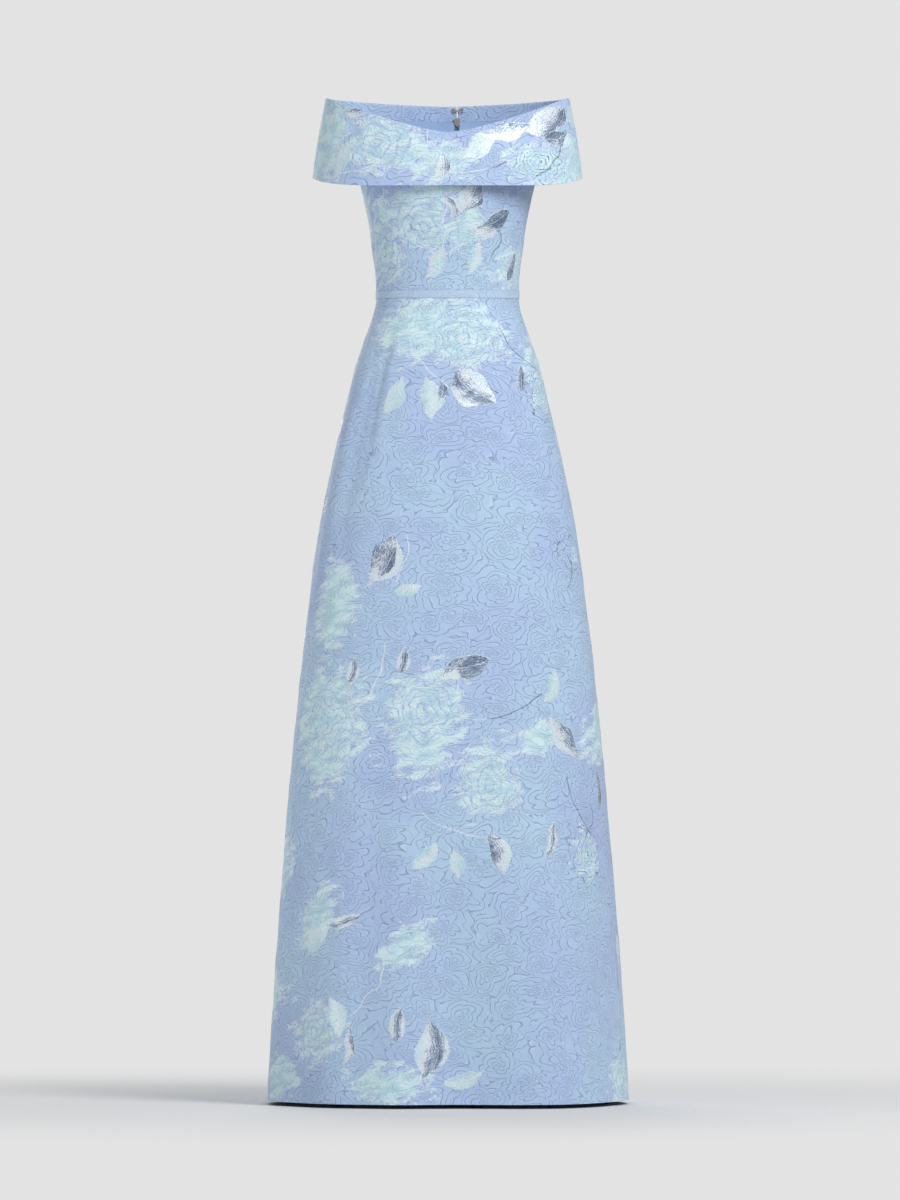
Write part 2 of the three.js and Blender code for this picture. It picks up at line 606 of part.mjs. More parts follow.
// The lining lies on the zip's tape and stops beside the coil.
const LINING_OUT = -CLOTH - TAPE.clear - TAPE.thickness - SEAM;
const liningGap = () => 2 * (ZIP_GAP / 2 + SEAM + TAPE.coilWidth + SEAM);
for (const side of ["left", "right"]) {
  const panel = PANELS[`back_${side}`];
  const gaps = panel.gaps.map((gap) => (gap === openingGap ? liningGap : gap));
  piece(`lining_back_${side}`, panelGeometry({ ...panel, gaps }, bodiceRows, LINING_OUT, LINING), satin);
}

const opening = radToDeg(Math.atan2(OPENING_SHIFT, -planDepth(COLLAR.edge, OPENING_SHIFT, true)));
const collars = [
  { name: "front", from: -SIDE_SEAM, fromGap: SEAM, to: SIDE_SEAM, toGap: SEAM, steps: 26 },
  { name: "back_left", from: SIDE_SEAM, fromGap: SEAM, to: opening, toGap: ZIP_GAP, steps: 14 },
  { name: "back_right", from: opening - 360, fromGap: ZIP_GAP, to: -SIDE_SEAM, toGap: SEAM, steps: 16 },
];
for (const { name, from, fromGap, to, toGap, steps } of collars) {
  const collar = collarGeometry(collarBeside(from, fromGap / 2), collarBeside(to, -toGap / 2), steps);
  piece(`collar_${name}`, collar, jacquard);
}

piece("zip_tape_left", tapeGeometry(1), tapeCloth);
piece("zip_tape_right", tapeGeometry(-1), tapeCloth);
piece("zip_slider", sliderGeometry(), steel, OPENING_SHIFT, 0, SLIDER.z);
piece("zip_pull", pullGeometry(), steel, OPENING_SHIFT, pullAxisY, SLIDER.z);
piece("hook", hookGeometry(), steel, OPENING_SHIFT, hookFaceY, HOOK_Z);
piece("eye", eyeGeometry(), steel, OPENING_SHIFT, hookFaceY, HOOK_Z);

export default group;
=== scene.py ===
# %% [markdown]
# # An off-the-shoulder gown in blistered jacquard
# The imported model gives the gown's form: 24 solids in metres, with the origin in the middle of the
# waist, +X on the wearer's left and the front facing -Y. Here every cloth solid gets a finer sheet
# of cloth in its place, cut along the same seams, and the zip gets its coil and tape.

# %% Load the imported model
import math

import bmesh
import bpy
import numpy as np
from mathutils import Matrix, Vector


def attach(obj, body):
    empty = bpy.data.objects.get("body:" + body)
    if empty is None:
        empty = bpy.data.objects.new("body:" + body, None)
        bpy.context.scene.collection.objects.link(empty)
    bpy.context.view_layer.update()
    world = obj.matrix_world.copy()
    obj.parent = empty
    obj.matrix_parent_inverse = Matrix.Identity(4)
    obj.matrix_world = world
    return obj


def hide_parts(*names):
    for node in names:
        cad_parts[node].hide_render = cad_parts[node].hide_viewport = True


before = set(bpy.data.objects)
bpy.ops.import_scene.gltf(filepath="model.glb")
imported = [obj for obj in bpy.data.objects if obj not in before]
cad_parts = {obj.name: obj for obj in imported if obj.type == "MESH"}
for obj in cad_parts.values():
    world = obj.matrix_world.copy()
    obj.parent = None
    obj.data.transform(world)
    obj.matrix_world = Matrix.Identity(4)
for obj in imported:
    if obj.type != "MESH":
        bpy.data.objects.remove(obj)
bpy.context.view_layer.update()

# %% [markdown]
# The camera comes first. A long lens from far away keeps the upright lines parallel, as in a
# studio view taken at waist height. The world is the pale grey of the backdrop to the camera, and a
# dimmer grey to the cloth, so that the folds keep their shade.

# %% Camera and light
FRAME_HEIGHT = 1.74  # metres from the picture's top to its foot
LENS = 400.0
MIDDLE = (0.0036, -0.442)  # x and z of the picture's middle
GREY = (0.768, 0.768, 0.768, 1)


def add_object(name, data):
    """A new object in the scene."""
    added = bpy.data.objects.new(name, data)
    bpy.context.collection.objects.link(added)
    return added


camera = add_object("camera", bpy.data.cameras.new("camera"))
camera.data.lens = LENS
camera.data.clip_end = 100
camera.location = (MIDDLE[0], -FRAME_HEIGHT * LENS / 36, MIDDLE[1])
camera.rotation_euler = (math.pi / 2, 0, 0)
bpy.context.scene.camera = camera
bpy.context.scene.view_settings.view_transform = "Standard"

world = bpy.data.worlds.new("studio")
world.use_nodes = True
studio = world.node_tree
backdrop = studio.nodes["Background"]
backdrop.inputs["Color"].default_value = GREY
shade_fill = studio.nodes.new("ShaderNodeBackground")
shade_fill.inputs["Color"].default_value = (0.42, 0.425, 0.44, 1)
seen = studio.nodes.new("ShaderNodeLightPath")
either = studio.nodes.new("ShaderNodeMixShader")
studio.links.new(seen.outputs["Is Camera Ray"], either.inputs[0])
studio.links.new(shade_fill.outputs[0], either.inputs[1])
studio.links.new(backdrop.outputs[0], either.inputs[2])
studio.links.new(either.outputs[0], studio.nodes["World Output"].inputs["Surface"])
bpy.context.scene.world = world


def soft_light(name, place, size, watts):
    """A square of light that faces the middle of the gown."""
    light = add_object(name, bpy.data.lights.new(name, "AREA"))
    light.data.size = size
    light.data.energy = watts
    light.location = place
    aim = Vector((0, 0, -0.4)) - light.location
    light.rotation_euler = aim.to_track_quat("-Z", "Y").to_euler()


soft_light("key", (1.9, -2.7, 1.9), 1.5, 94)
soft_light("fill", (-3.7, -1.8, -1.7), 2.0, 40)
soft_light("behind", (-0.8, 3.8, 0.8), 2.5, 55)
print("camera", round(-camera.location.y, 2), "m in front of the gown")

# %% [markdown]
# ## The gown's form
# The same sections, folds and seam lines as in the model, in millimetres. Each row is the outline
# at a height: half the width, the depth in front and behind, and how square it is.

# %% Sections of bodice and skirt
HEM_Z = -1166.0
BUST_Z = 175.0
BAND_HALF = 6.0  # half the waistband's height
SECTIONS = np.array([
    (262, 131, 106, 99, 2.2), (215, 131, 116, 97, 2.2), (175, 129, 122, 95, 2.2),
    (158, 126.5, 121, 94, 2.2), (135, 121, 117, 93, 2.2), (100, 114, 108, 92, 2.2),
    (65, 109.5, 100, 91, 2.2), (30, 104.8, 94.5, 90, 2.2), (0, 103.8, 93, 90, 2.2),
    (-16, 104.5, 94, 91, 2.25), (-36, 110, 98, 96, 2.4), (-65, 120.5, 105, 105, 2.55),
    (-94, 130.5, 111, 114, 2.65), (-123, 138.5, 116, 122, 2.7), (-152, 145.5, 121, 129, 2.75),
    (-210, 159.5, 130, 141, 2.75), (-268, 172.5, 139, 151, 2.7), (-326, 184, 147, 161, 2.65),
    (-384, 193.5, 155, 170, 2.55), (-442, 201, 163, 178, 2.5), (-500, 208.5, 170, 186, 2.45),
    (-587, 218.5, 180, 196, 2.4), (-674, 227.5, 189, 206, 2.35), (-761, 235, 197, 214, 2.3),
    (-848, 242.5, 204, 222, 2.3), (-935, 249.5, 211, 230, 2.3), (-1022, 255.5, 217, 237, 2.3),
    (-1109, 261, 223, 243, 2.3), (-1166, 263.5, 227, 247, 2.3),
])


def lerp(a, b, t):
    return a + (b - a) * t


def smooth(x, low, high):
    """0 below low, 1 above high and a soft step between them."""
    t = np.clip((x - low) / (high - low), 0, 1)
    return t * t * (3 - 2 * t)


def section_at(z):
    """Half width, front depth, back depth and squareness at each height."""
    z = np.asarray(z, float)
    last = len(SECTIONS) - 1
    i = np.clip(np.searchsorted(-SECTIONS[:, 0], -z, side="right"), 1, last)
    above, below = SECTIONS[i - 1], SECTIONS[i]
    before, after = SECTIONS[np.maximum(i - 2, 0)], SECTIONS[np.minimum(i + 1, last)]
    span = (below - above)[..., :1]
    t = np.clip((z[..., None] - above[..., :1]) / span, 0, 1)
    start = (below - before) / (below - before)[..., :1] * span
    end = (after - above) / (after - above)[..., :1] * span
    rows = (
        above * (2 * t**3 - 3 * t**2 + 1)
        + start * (t**3 - 2 * t**2 + t)
        + below * (3 * t**2 - 2 * t**3)
        + end * (t**3 - t**2)
    )
    return tuple(rows[..., k] for k in range(1, 5))


def plan_point(plan, degrees):
    """The point of a squared ellipse in a direction, 0 being the centre front."""
    width, front, back, square = plan
    s, c = np.sin(np.radians(degrees)), np.cos(np.radians(degrees))
    depth = np.where(c >= 0, front, back)
    radius = (np.abs(s / width) ** square + np.abs(c / depth) ** square) ** (-1 / square)
    return radius * s, -radius * c


def from_front(degrees):
    """How far an angle is from the centre front, 0 to 180."""
    return np.abs(np.mod(degrees + 180, 360) - 180)


def plan_depth(plan, x, behind):
    width, front, back, square = plan
    share = (1 - np.minimum(1, np.abs(x) / width) ** square) ** (1 / square)
    return np.where(behind, back * share, -front * share)


def plan_outward(plan, degrees):
    (x1, y1), (x0, y0) = plan_point(plan, degrees + 0.5), plan_point(plan, degrees - 0.5)
    length = np.hypot(x1 - x0, y1 - y0)
    return (y1 - y0) / length, (x0 - x1) / length


waist = section_at(0.0)
print("half the waist's width:", round(float(waist[0]), 1), "mm")

# %% [markdown]
# Cloth of this weight falls in a few broad folds. The first rows are the model's own. Those after
# them are shallower creases that only the sheets have: soft breaks over the hip and long waves
# that run into the hem. Each has an angle at its top and foot, three heights, half a width, and a
# depth that is positive for a trough.

# %% Folds and creases
FOLDS = [
    (-50, -56, -14, -150, -480, 17, 6), (-64, -66, -30, -240, -560, 24, -4),
    (49, 56, -14, -120, -360, 18, 4), (64, 50, -160, -420, -760, 26, 4.5),
    (-4, 5, -660, -1060, -1800, 70, 14), (-20, -17, -560, -1000, -1800, 42, -5),
    (-27, -31, -380, -900, -1700, 28, 5), (30, 36, -620, -1080, -1800, 60, -7),
    (-58, -60, -700, -1100, -1800, 50, 8), (66, 70, -640, -1080, -1800, 46, 7),
    (104, 108, -240, -760, -1700, 50, 9), (128, 132, -60, -620, -1700, 48, -9),
    (152, 154, -120, -820, -1800, 52, 13), (-102, -107, -300, -820, -1700, 48, 10),
    (-131, -134, -60, -560, -1700, 50, -10), (-158, -156, -140, -780, -1800, 50, 12),
]
CREASES = [
    (-43, -49, -12, -110, -370, 8, 3.2), (45, 51, -12, -80, -300, 9, 1.2),
    (5, 12, -600, -1040, -1800, 50, 9), (36, 44, -600, -1060, -1800, 36, -7),
    (-33, -36, -640, -900, -1500, 16, 1.6), (17, 21, -700, -1020, -1700, 20, 1.8),
    (48, 52, -820, -1110, -1700, 18, -1.8), (-71, -74, -520, -900, -1500, 18, -2),
    (80, 83, -480, -900, -1500, 20, 2), (-86, -88, -700, -1080, -1700, 24, 2.4),
    (117, 121, -400, -900, -1600, 20, 2.2), (142, 143, -700, -1060, -1700, 18, -2),
    (167, 168, -620, -1000, -1700, 20, -2.4), (-118, -121, -520, -950, -1600, 20, -2),
    (-145, -146, -700, -1050, -1700, 20, 2.2), (-170, -171, -560, -960, -1700, 18, 1.8),
]


def fold_depth(degrees, z, plan):
    depth = np.zeros(np.broadcast(degrees, z).shape)
    for top, foot, top_z, peak_z, foot_z, half_width, deep in FOLDS + CREASES:
        centre = lerp(top, foot, (z - top_z) / (foot_z - top_z))
        turn = np.mod(degrees - centre + 180, 360) - 180
        radius = np.hypot(*plan_point(plan, centre))
        away = np.radians(turn) * radius / half_width
        shape = smooth(-z, -top_z, -peak_z) * (1 - smooth(-z, -peak_z, -foot_z))
        depth = depth + deep * shape * np.exp(-away * away)
    return depth


print("folds:", len(FOLDS), "creases:", len(CREASES))

# %% [markdown]
# The collar's rolled edge and its lower edge are two outlines at two sets of heights. The bodice
# meets the collar at the neck seam, and each armhole drops away from it.

# %% Collar, neck seam and armholes
EDGE = (177, 112, 106, 2.15)
FOOT = (196, 133, 114, 2.3)
FLAP, HOLLOW, CLOTH = 2.0, 1.2, 1.6
FACING, BULGE = 23.0, 1.6
CLEAR = 0.3  # between two solids
SIDE_TOP_Z, FRONT_DIP, BACK_DIP, EDGE_CURVE = 285.5, 52.5, 8.5, 1.4
CENTRE_FOOT_Z, SIDE_FOOT_Z, FOOT_CURVE, FRONT_HANG = 159, 170, 6, 3.5
OPENING_X, ZIP_GAP = 14, 1.8
ROLL = (FLAP + HOLLOW + CLOTH) / 2  # radius of the rolled edge
FACING_PLAN = (173.8, 108.8, 102.8, 2.15)
ARM_FRONT, ARM_BACK, UNDERARM_Z, LEAN = 56, 126, 178, 30


def collar_edge_z(x, behind):
    dip = np.where(behind, BACK_DIP, FRONT_DIP)
    return SIDE_TOP_Z - dip * (1 - np.minimum(1, np.abs(x) / EDGE[0]) ** EDGE_CURVE)


def collar_foot_z(x, y):
    """The lower edge, which hangs a little lower in front than behind."""
    level = lerp(CENTRE_FOOT_Z, SIDE_FOOT_Z, np.minimum(1, np.abs(x) / FOOT[0]) ** FOOT_CURVE)
    return level + FRONT_HANG * np.clip(y / 60, -1, 1)


def neck_seam_z(x, behind):
    return collar_edge_z(x, behind) - FACING - CLEAR


def bodice_top_z(degrees):
    wide = from_front(degrees)
    behind = wide > 90
    seam_z = np.full(np.shape(degrees), 262.5)
    for _ in range(4):
        seam_z = neck_seam_z(plan_point(section_at(seam_z), degrees)[0], behind)
    start = np.where(behind, ARM_BACK, ARM_FRONT)
    share = np.clip((wide - start) / (90 - start), 0, 1)
    return lerp(seam_z, UNDERARM_Z, np.sin(share * math.pi / 2) ** 1.4)


def gown_face(degrees, z):
    """Points on the outer face of bodice and skirt, in millimetres."""
    degrees, z = np.asarray(degrees, float), np.asarray(z, float)
    plan = section_at(z)
    x, y = plan_point(plan, degrees)
    wide = from_front(degrees)
    behind = wide > 90
    past = np.where(behind, ARM_BACK - wide, wide - ARM_FRONT)
    rise = np.clip((z - BUST_Z) / np.maximum(neck_seam_z(x, behind) - BUST_Z, 1), 0, 1)
    lean = (1 - smooth(past, 0, LEAN)) * rise * rise * (3 - 2 * rise)
    y = lerp(y, plan_depth(FACING_PLAN, x, behind), lean)
    if np.min(z) < 0:
        out_x, out_y = plan_outward(plan, degrees)
        depth = np.where(z < 0, fold_depth(degrees, z, plan), 0)
        x, y = x - out_x * depth, y - out_y * depth
    return np.stack(np.broadcast_arrays(x, y, z), axis=-1)


def gown_offset(degrees, z, out):
    """The face moved out at its own height, as far as a wall of that thickness reaches."""
    along = gown_face(degrees + 0.5, z) - gown_face(degrees - 0.5, z)
    up = gown_face(degrees, z + 1) - gown_face(degrees, z - 1)
    level = np.cross(along, up)
    level = level / np.linalg.norm(level, axis=-1, keepdims=True)
    level[..., 2] = 0
    size = np.sum(level * level, axis=-1, keepdims=True)
    return gown_face(degrees, z) + level * (np.asarray(out)[..., None] / size)


def angle_beside(degrees, z, distance):
    """The angle of a point that lies a distance further round."""
    step = gown_face(degrees + 0.5, z) - gown_face(degrees - 0.5, z)
    return degrees + distance / np.linalg.norm(step, axis=-1)


def princess_seam(z):
    return lerp(41.5, 48, smooth(z, 45, 130))


def opening_angle(z):
    x = OPENING_X * smooth(z, 0, BUST_Z)
    return np.degrees(np.arctan2(x, -plan_depth(section_at(z), x, True)))


print("height of the bodice at the centre front:", round(float(bodice_top_z(np.array(0.0))), 1))

# %% [markdown]
# ## Cloth
# A sheet starts as a flat bmesh grid with one square for a few millimetres of cloth. Its vertices
# are moved onto the gown's form and a UV map keeps each one's place on the flat cloth, in metres.
# A Solidify modifier gives the thickness inwards, with the wrong side as its second material.
# Blistered cloth is never quite flat, so a little seeded unevenness is laid over the form.

# %% From a flat grid to a sheet
MM = 0.001
rng = np.random.default_rng(7)
WAVES = rng.normal(size=(9, 3))
WAVES /= np.linalg.norm(WAVES, axis=1, keepdims=True)
SHIFTS = rng.uniform(0, 2 * math.pi, 9)


def uneven(points, length):
    """A smooth random value for each point, about -1 to 1, that changes over a length in mm."""
    phase = points @ WAVES.T * (2 * math.pi / length) + SHIFTS
    return np.sin(phase + 1.3 * np.sin(phase[..., ::-1] * 0.61)).sum(-1) / 3.2


def grid_normals(points):
    across = np.gradient(points, axis=1)
    down = np.gradient(points, axis=0)
    normal = np.cross(down, across)
    return normal / np.maximum(np.linalg.norm(normal, axis=-1, keepdims=True), 1e-9)


def cloth_lengths(points):
    """A grid's lengths in mm: from the middle column, from the first, in all, and from the top."""
    steps = np.linalg.norm(np.diff(points, axis=1), axis=-1)
    across = np.concatenate([np.zeros((len(points), 1)), np.cumsum(steps, axis=1)], axis=1)
    middle = points.shape[1] // 2
    drop = np.linalg.norm(np.diff(points, axis=0), axis=-1)
    down = np.concatenate([np.zeros((1, points.shape[1])), np.cumsum(drop, axis=0)])
    centre = slice(middle, middle + 1)
    return across - across[:, centre], across, across[:, -1:], down[:, centre]


def mesh_from(bm, name):
    mesh = bpy.data.meshes.new(name)
    bm.to_mesh(mesh)
    bm.free()
    return mesh


def sheet_object(name, points, thickness, materials):
    """A grid of points, top row first, as a mesh with a UV map and a Solidify modifier."""
    rows, columns = points.shape[0] - 1, points.shape[1] - 1
    bm = bmesh.new()
    bm.loops.layers.uv.new("cloth")
    bmesh.ops.create_grid(bm, x_segments=columns, y_segments=rows, size=1, calc_uvs=True)
    mesh = mesh_from(bm, name)
    flat = np.empty(len(mesh.vertices) * 3)
    mesh.vertices.foreach_get("co", flat)
    flat = flat.reshape(-1, 3)
    column = np.rint((flat[:, 0] + 1) / 2 * columns).astype(int)
    row = np.rint((1 - flat[:, 1]) / 2 * rows).astype(int)
    mesh.vertices.foreach_set("co", (points[row, column] * MM).ravel())
    from_middle, _, _, down = cloth_lengths(points)
    uv = np.stack([from_middle, -np.broadcast_to(down, from_middle.shape)], axis=-1) * MM
    corner = np.empty(len(mesh.loops), int)
    mesh.loops.foreach_get("vertex_index", corner)
    mesh.uv_layers["cloth"].data.foreach_set("uv", uv[row, column][corner].ravel())
    mesh.shade_smooth()
    ends = np.empty(len(mesh.edges) * 2, int)
    mesh.edges.foreach_get("vertices", ends)
    at_rim = (row == 0) | (row == rows) | (column == 0) | (column == columns)
    mesh.edges.foreach_set("use_edge_sharp", at_rim[ends.reshape(-1, 2)].all(1))
    mesh.update()
    for material in materials:
        mesh.materials.append(material)
    sheet = add_object(name, mesh)
    wall = sheet.modifiers.new("thickness", "SOLIDIFY")
    wall.thickness = thickness * MM
    wall.offset = -1
    wall.use_even_offset = True
    wall.material_offset = len(materials) - 1
    return sheet, (row, column)


def write_fields(sheet, places, fields):
    """Keeps named vectors at a sheet's vertices, for its material to read."""
    for name, values in fields.items():
        layer = sheet.data.attributes.new(name, "FLOAT_VECTOR", "POINT")
        layer.data.foreach_set("vector", values[places].astype(np.float32).ravel())


print("waves laid over the cloth:", len(WAVES))

# %% [markdown]
# ## Motifs
# Over the woven roses lie blooms in mint thread, leaves in silver thread and thin dark stems.
# They are plain garden roses and leaves of a general kind. Each is listed where the cloth has one
# in front, with others strewn over the sides and the back. A motif is a field of
# distances that is kept at the sheet's vertices, and the material draws crisp edges from it.

# %% Where the motifs lie
# Kind, x and z in mm, length, width and turn in degrees.
SKIRT_MOTIFS = [
    ("rose", 21, -66, 92, 92, 0), ("cloud", -38, -50, 140, 90, 0), ("pale", -76, -148, 58, 24, 62),
    ("pale", -24, -152, 66, 34, 100), ("dark", -8, -140, 30, 16, 80), ("leaf", 36, -138, 84, 52, -38),
    ("stem", 107, -84, 96, 12, -43), ("dark", 106, -122, 46, 14, 78), ("inked", 138, -148, 62, 66, 20),
    ("stem", 40, -100, 110, 9, -60), ("stem", -30, -104, 90, 8, -50), ("cloud", 30, -60, 100, 110, 80),
    ("leaf", -90, -384, 80, 46, 66), ("dark", -86, -390, 52, 18, 60), ("stem", -64, -384, 70, 6, 76),
    ("pale", -57, -428, 44, 20, 10), ("cloud", -163, -450, 130, 84, 80), ("rose", -176, -620, 124, 150, 10),
    ("cloud", -176, -640, 150, 110, 80), ("leaf", -138, -544, 40, 22, 70), ("leaf", -62, -529, 44, 20, 80),
    ("cloud", -33, -620, 170, 104, 76), ("rose", -34, -600, 90, 104, 40), ("dark", 32, -536, 72, 34, 14),
    ("leaf", 12, -540, 58, 26, 40), ("rose", 62, -710, 82, 92, 15), ("cloud", 56, -700, 110, 84, 80),
    ("stem", 90, -600, 110, 12, 20), ("pale", 152, -566, 56, 24, 62), ("leaf", 170, -642, 88, 34, -46),
    ("leaf", 74, -805, 66, 30, 110), ("pale", -30, -812, 52, 26, 50), ("pale", 15, -822, 44, 20, 100),
    ("leaf", 150, -787, 58, 15, 76), ("inked", 202, -812, 74, 90, 0), ("dark", 219, -716, 60, 16, 84),
    ("stem", 205, -764, 60, 10, 70), ("stem", 190, -740, 90, 14, -60), ("inked", 184, -374, 36, 44, 60),
    ("stem", 176, -400, 50, 10, 84), ("leaf", -149, -903, 60, 18, 20), ("pale", -190, -930, 70, 30, 30),
    ("cloud", -190, -900, 110, 60, 60), ("rose", -192, -1066, 88, 84, 0), ("leaf", -141, -1080, 56, 16, 80),
    ("pale", -160, -1040, 70, 26, 110), ("leaf", -73, -1052, 56, 22, 80), ("leaf", -25, -1086, 92, 50, 78),
    ("dark", -16, -1100, 44, 14, 84), ("cloud", -87, -1135, 120, 56, 0), ("pale", 22, -1131, 60, 24, 20),
    ("cloud", -243, -1131, 80, 70, 0), ("stem", 250, -1040, 110, 12, 84), ("stem", 246, -960, 70, -10, 96),
    ("cloud", -60, -940, 90, 50, 40), ("stem", -110, -560, 120, 12, 60), ("cloud", 130, -640, 70, 50, 20),
    ("stem", -210, -560, 150, 16, 76), ("stem", 20, -770, 120, 12, -20), ("stem", -120, -1010, 120, 14, 50),
]
BODICE_MOTIFS = [
    ("cloud", -46, 118, 140, 86, 20), ("cloud", -100, 76, 150, 60, 84), ("leaf", 32, 140, 62, 36, 66),
    ("cloud", 20, 92, 80, 60, 0), ("leaf", 6, 126, 40, 16, 120), ("dark", 72, 106, 50, 30, 30),
    ("leaf", 58, 92, 50, 24, 10), ("dark", 93, 40, 50, 18, 74), ("rose", -34, 96, 76, 66, 0),
    ("pale", -14, 46, 56, 24, 60), ("rose", -92, 60, 70, 84, 0), ("stem", 66, 60, 70, 8, 66),
    ("stem", -10, 70, 110, 12, 80), ("pale", 40, 52, 50, 20, 76),
]
COLLAR_MOTIFS = [
    ("cloud", -174, 214, 130, 80, 84), ("cloud", -84, 214, 130, 80, 0), ("rose", -100, 214, 92, 84, 0),
    ("leaf", -8, 184, 40, 22, 80), ("cloud", -10, 190, 90, 60, 0), ("leaf", 88, 234, 90, 26, 12),
    ("leaf", 142, 250, 80, 40, 30), ("dark", 158, 226, 48, 24, 14), ("dark", 164, 256, 44, 18, 50),
    ("cloud", 127, 190, 100, 64, 0), ("inked", 136, 190, 84, 56, 0), ("stem", 150, 196, 80, 12, 50),
    ("leaf", -134, 262, 36, 14, 10), ("pale", 46, 214, 70, 26, 40), ("stem", 40, 180, 90, 8, 10),
    ("pale", -150, 196, 60, 26, 70), ("stem", -120, 186, 90, 12, 20), ("stem", -40, 214, 110, 14, 60),
]


def strewn(count, low_z, high_z):
    """Motifs over the hidden sides, as an angle in place of x."""
    kinds = ["rose", "cloud", "leaf", "pale", "cloud", "dark", "leaf", "stem", "cloud", "inked"]
    sizes = {
        "rose": (92, 88), "cloud": (140, 92), "leaf": (66, 32), "pale": (60, 26),
        "dark": (50, 18), "inked": (72, 68), "stem": (100, 12),
    }
    found = []
    for i in range(count):
        kind = kinds[i % len(kinds)]
        length, width = (size * rng.uniform(0.75, 1.25) for size in sizes[kind])
        share = (i * 0.618034) % 1
        angle = lerp(76, 284, share)
        z = lerp(low_z, high_z, (i + rng.uniform(0.2, 0.8)) / count)
        found.append((kind, angle, z, length, width, rng.uniform(-30, 110)))
    return found


SKIRT_BEHIND = strewn(74, -1150, -25)
BODICE_BEHIND = strewn(10, 25, 160)
COLLAR_BEHIND = strewn(14, 175, 262)
print("motifs in front:", len(SKIRT_MOTIFS) + len(BODICE_MOTIFS) + len(COLLAR_MOTIFS))

# %% [markdown]
# Each motif is measured on the cloth beside it: its own flat axes touch the form at its middle.
# A leaf is a pointed oval in silver, mint or slate thread, a rose has petal lines that turn as they
# grow, and an inked rose has them in slate. A cloud is a brushed patch of mint and a stem is a
# shallow bow. Signed distances are kept, because they stay exact between two vertices.

# %% Fields of the motifs
FAR = 60.0


def motif_frame(face, angle, z):
    """Middle, level axis and upright axis of a motif on a face."""
    middle = face(np.array(angle), np.array(z))
    along = face(np.array(angle + 1.0), np.array(z)) - middle
    up = face(np.array(angle), np.array(z + 3.0)) - face(np.array(angle), np.array(z - 3.0))
    along = along / np.linalg.norm(along)
    up = up - along * (up @ along)
    return middle, along, up / np.linalg.norm(up)


TONES = {"pale": (0.14, 0.16), "leaf": (0.58, 0.3), "dark": (0.86, 0.14)}


def on_front(face, kind, x, z, length, width, turn):
    """The same motif with its angle on the face in place of x."""
    angle = float(np.degrees(np.arctan2(x, -plan_depth(section_at(z), x * 0.94, False))))
    for _ in range(6):
        missed = x - float(face(np.array(angle), np.array(float(z)))[0])
        angle = float(np.clip(angle + missed * 0.25, -88, 88))
    return kind, angle, float(z), length, width, turn


def placed(face, front, behind):
    """Every motif with its middle and its flat axes on a face."""
    rows = [on_front(face, *row) for row in front] + list(behind)
    return [row + motif_frame(face, row[1], row[2]) for row in rows]


def motif_fields(points, motifs):
    """Three vectors for every point: shapes, lines and blades."""
    grid = points.shape[:2]
    shapes = np.zeros(grid + (3,)) + (-1.0, -FAR, 0.0)  # mint, leaf and its tone
    lines = np.zeros(grid + (3,)) + (FAR, 0.0, FAR)  # stem, its mask and petal lines
    blades = np.zeros(grid + (3,))  # along and across a leaf, and ink
    wander = np.stack([uneven(points, 44), uneven(points[..., ::-1], 37)], -1)
    low, high = points.min((0, 1)), points.max((0, 1))
    for kind, angle, z, length, width, turn, middle, along, up in motifs:
        if (middle < low - length).any() or (middle > high + length).any():
            continue
        rows = np.flatnonzero(np.abs(points[..., 2] - z).min(1) < length)
        part = slice(rows[0], rows[-1] + 1)
        offset = points[part] - middle
        shape, line, blade = shapes[part], lines[part], blades[part]
        near = np.abs(offset @ np.cross(along, up)) < 45
        c, s = math.cos(math.radians(turn)), math.sin(math.radians(turn))
        a = offset @ along + wander[part, :, 0] * 0.04 * length
        b = offset @ up + wander[part, :, 1] * 0.05 * width
        a, b = a * c + b * s, b * c - a * s
        t = np.clip(a / (length / 2), -1.6, 1.6)
        if kind in TONES:
            # The rib bends a little and the widest place is nearer the stalk.
            bent = b - width * 0.2 * (t * t - 0.3)
            half = width / 2 * np.maximum(1 - t, 0) ** 1.3 * np.maximum(1 + t, 0) ** 1.2
            inside = half - np.abs(bent) - np.maximum(np.abs(t) - 1, 0) * 12
            base, change = TONES[kind]
            side = 1 if round(angle + z) % 3 else -1
            own = side * bent / (width / 2) + 0.5 * t
            if round(angle + z) % 2:
                own = 1.1 - 2.6 * np.abs(bent / (width / 2) + 0.16)
            own = base + change * own
            over = near & (inside > shape[..., 1]) & (inside > -8)
            if kind == "dark":
                over = near & (inside > np.minimum(shape[..., 1], 0))
            shape[..., 1] = np.where(over, inside, shape[..., 1])
            shape[..., 2] = np.where(over, own, shape[..., 2])
            blade[..., 0] = np.where(over, a, blade[..., 0])
            blade[..., 1] = np.where(over, bent, blade[..., 1])
        elif kind == "stem":
            bow = b - width * (t * t - 0.5)
            nearer = near & (np.abs(bow) < np.abs(line[..., 0])) & (np.abs(t) < 1.15)
            line[..., 0] = np.where(nearer, bow, line[..., 0])
            line[..., 1] = np.where(near & (np.abs(t) < 1) & (np.abs(bow) < 7), 1.0, line[..., 1])
        else:
            turned = np.arctan2(b / width, a / length)
            reach = np.hypot(a / (length / 2), b / (width / 2))
            if kind != "cloud":
                twist = 2.5 * turned + 3.4 * np.minimum(reach, 1.3) + angle
                reach = reach * (1.1 - 0.2 * np.abs(np.sin(twist)))
                radius = np.where(near, reach * (length + width) / 4, FAR)
                closer = radius < line[..., 2]
                line[..., 2] = np.where(closer, radius, line[..., 2])
                blade[..., 2] = np.where(closer & near, float(kind == "inked"), blade[..., 2])
            fill = 1.15 - reach - (0.25 if kind == "inked" else 0)
            shape[..., 0] = np.maximum(shape[..., 0], np.where(near, fill, -1))
    return {"shapes": shapes, "lines": lines, "blades": blades}


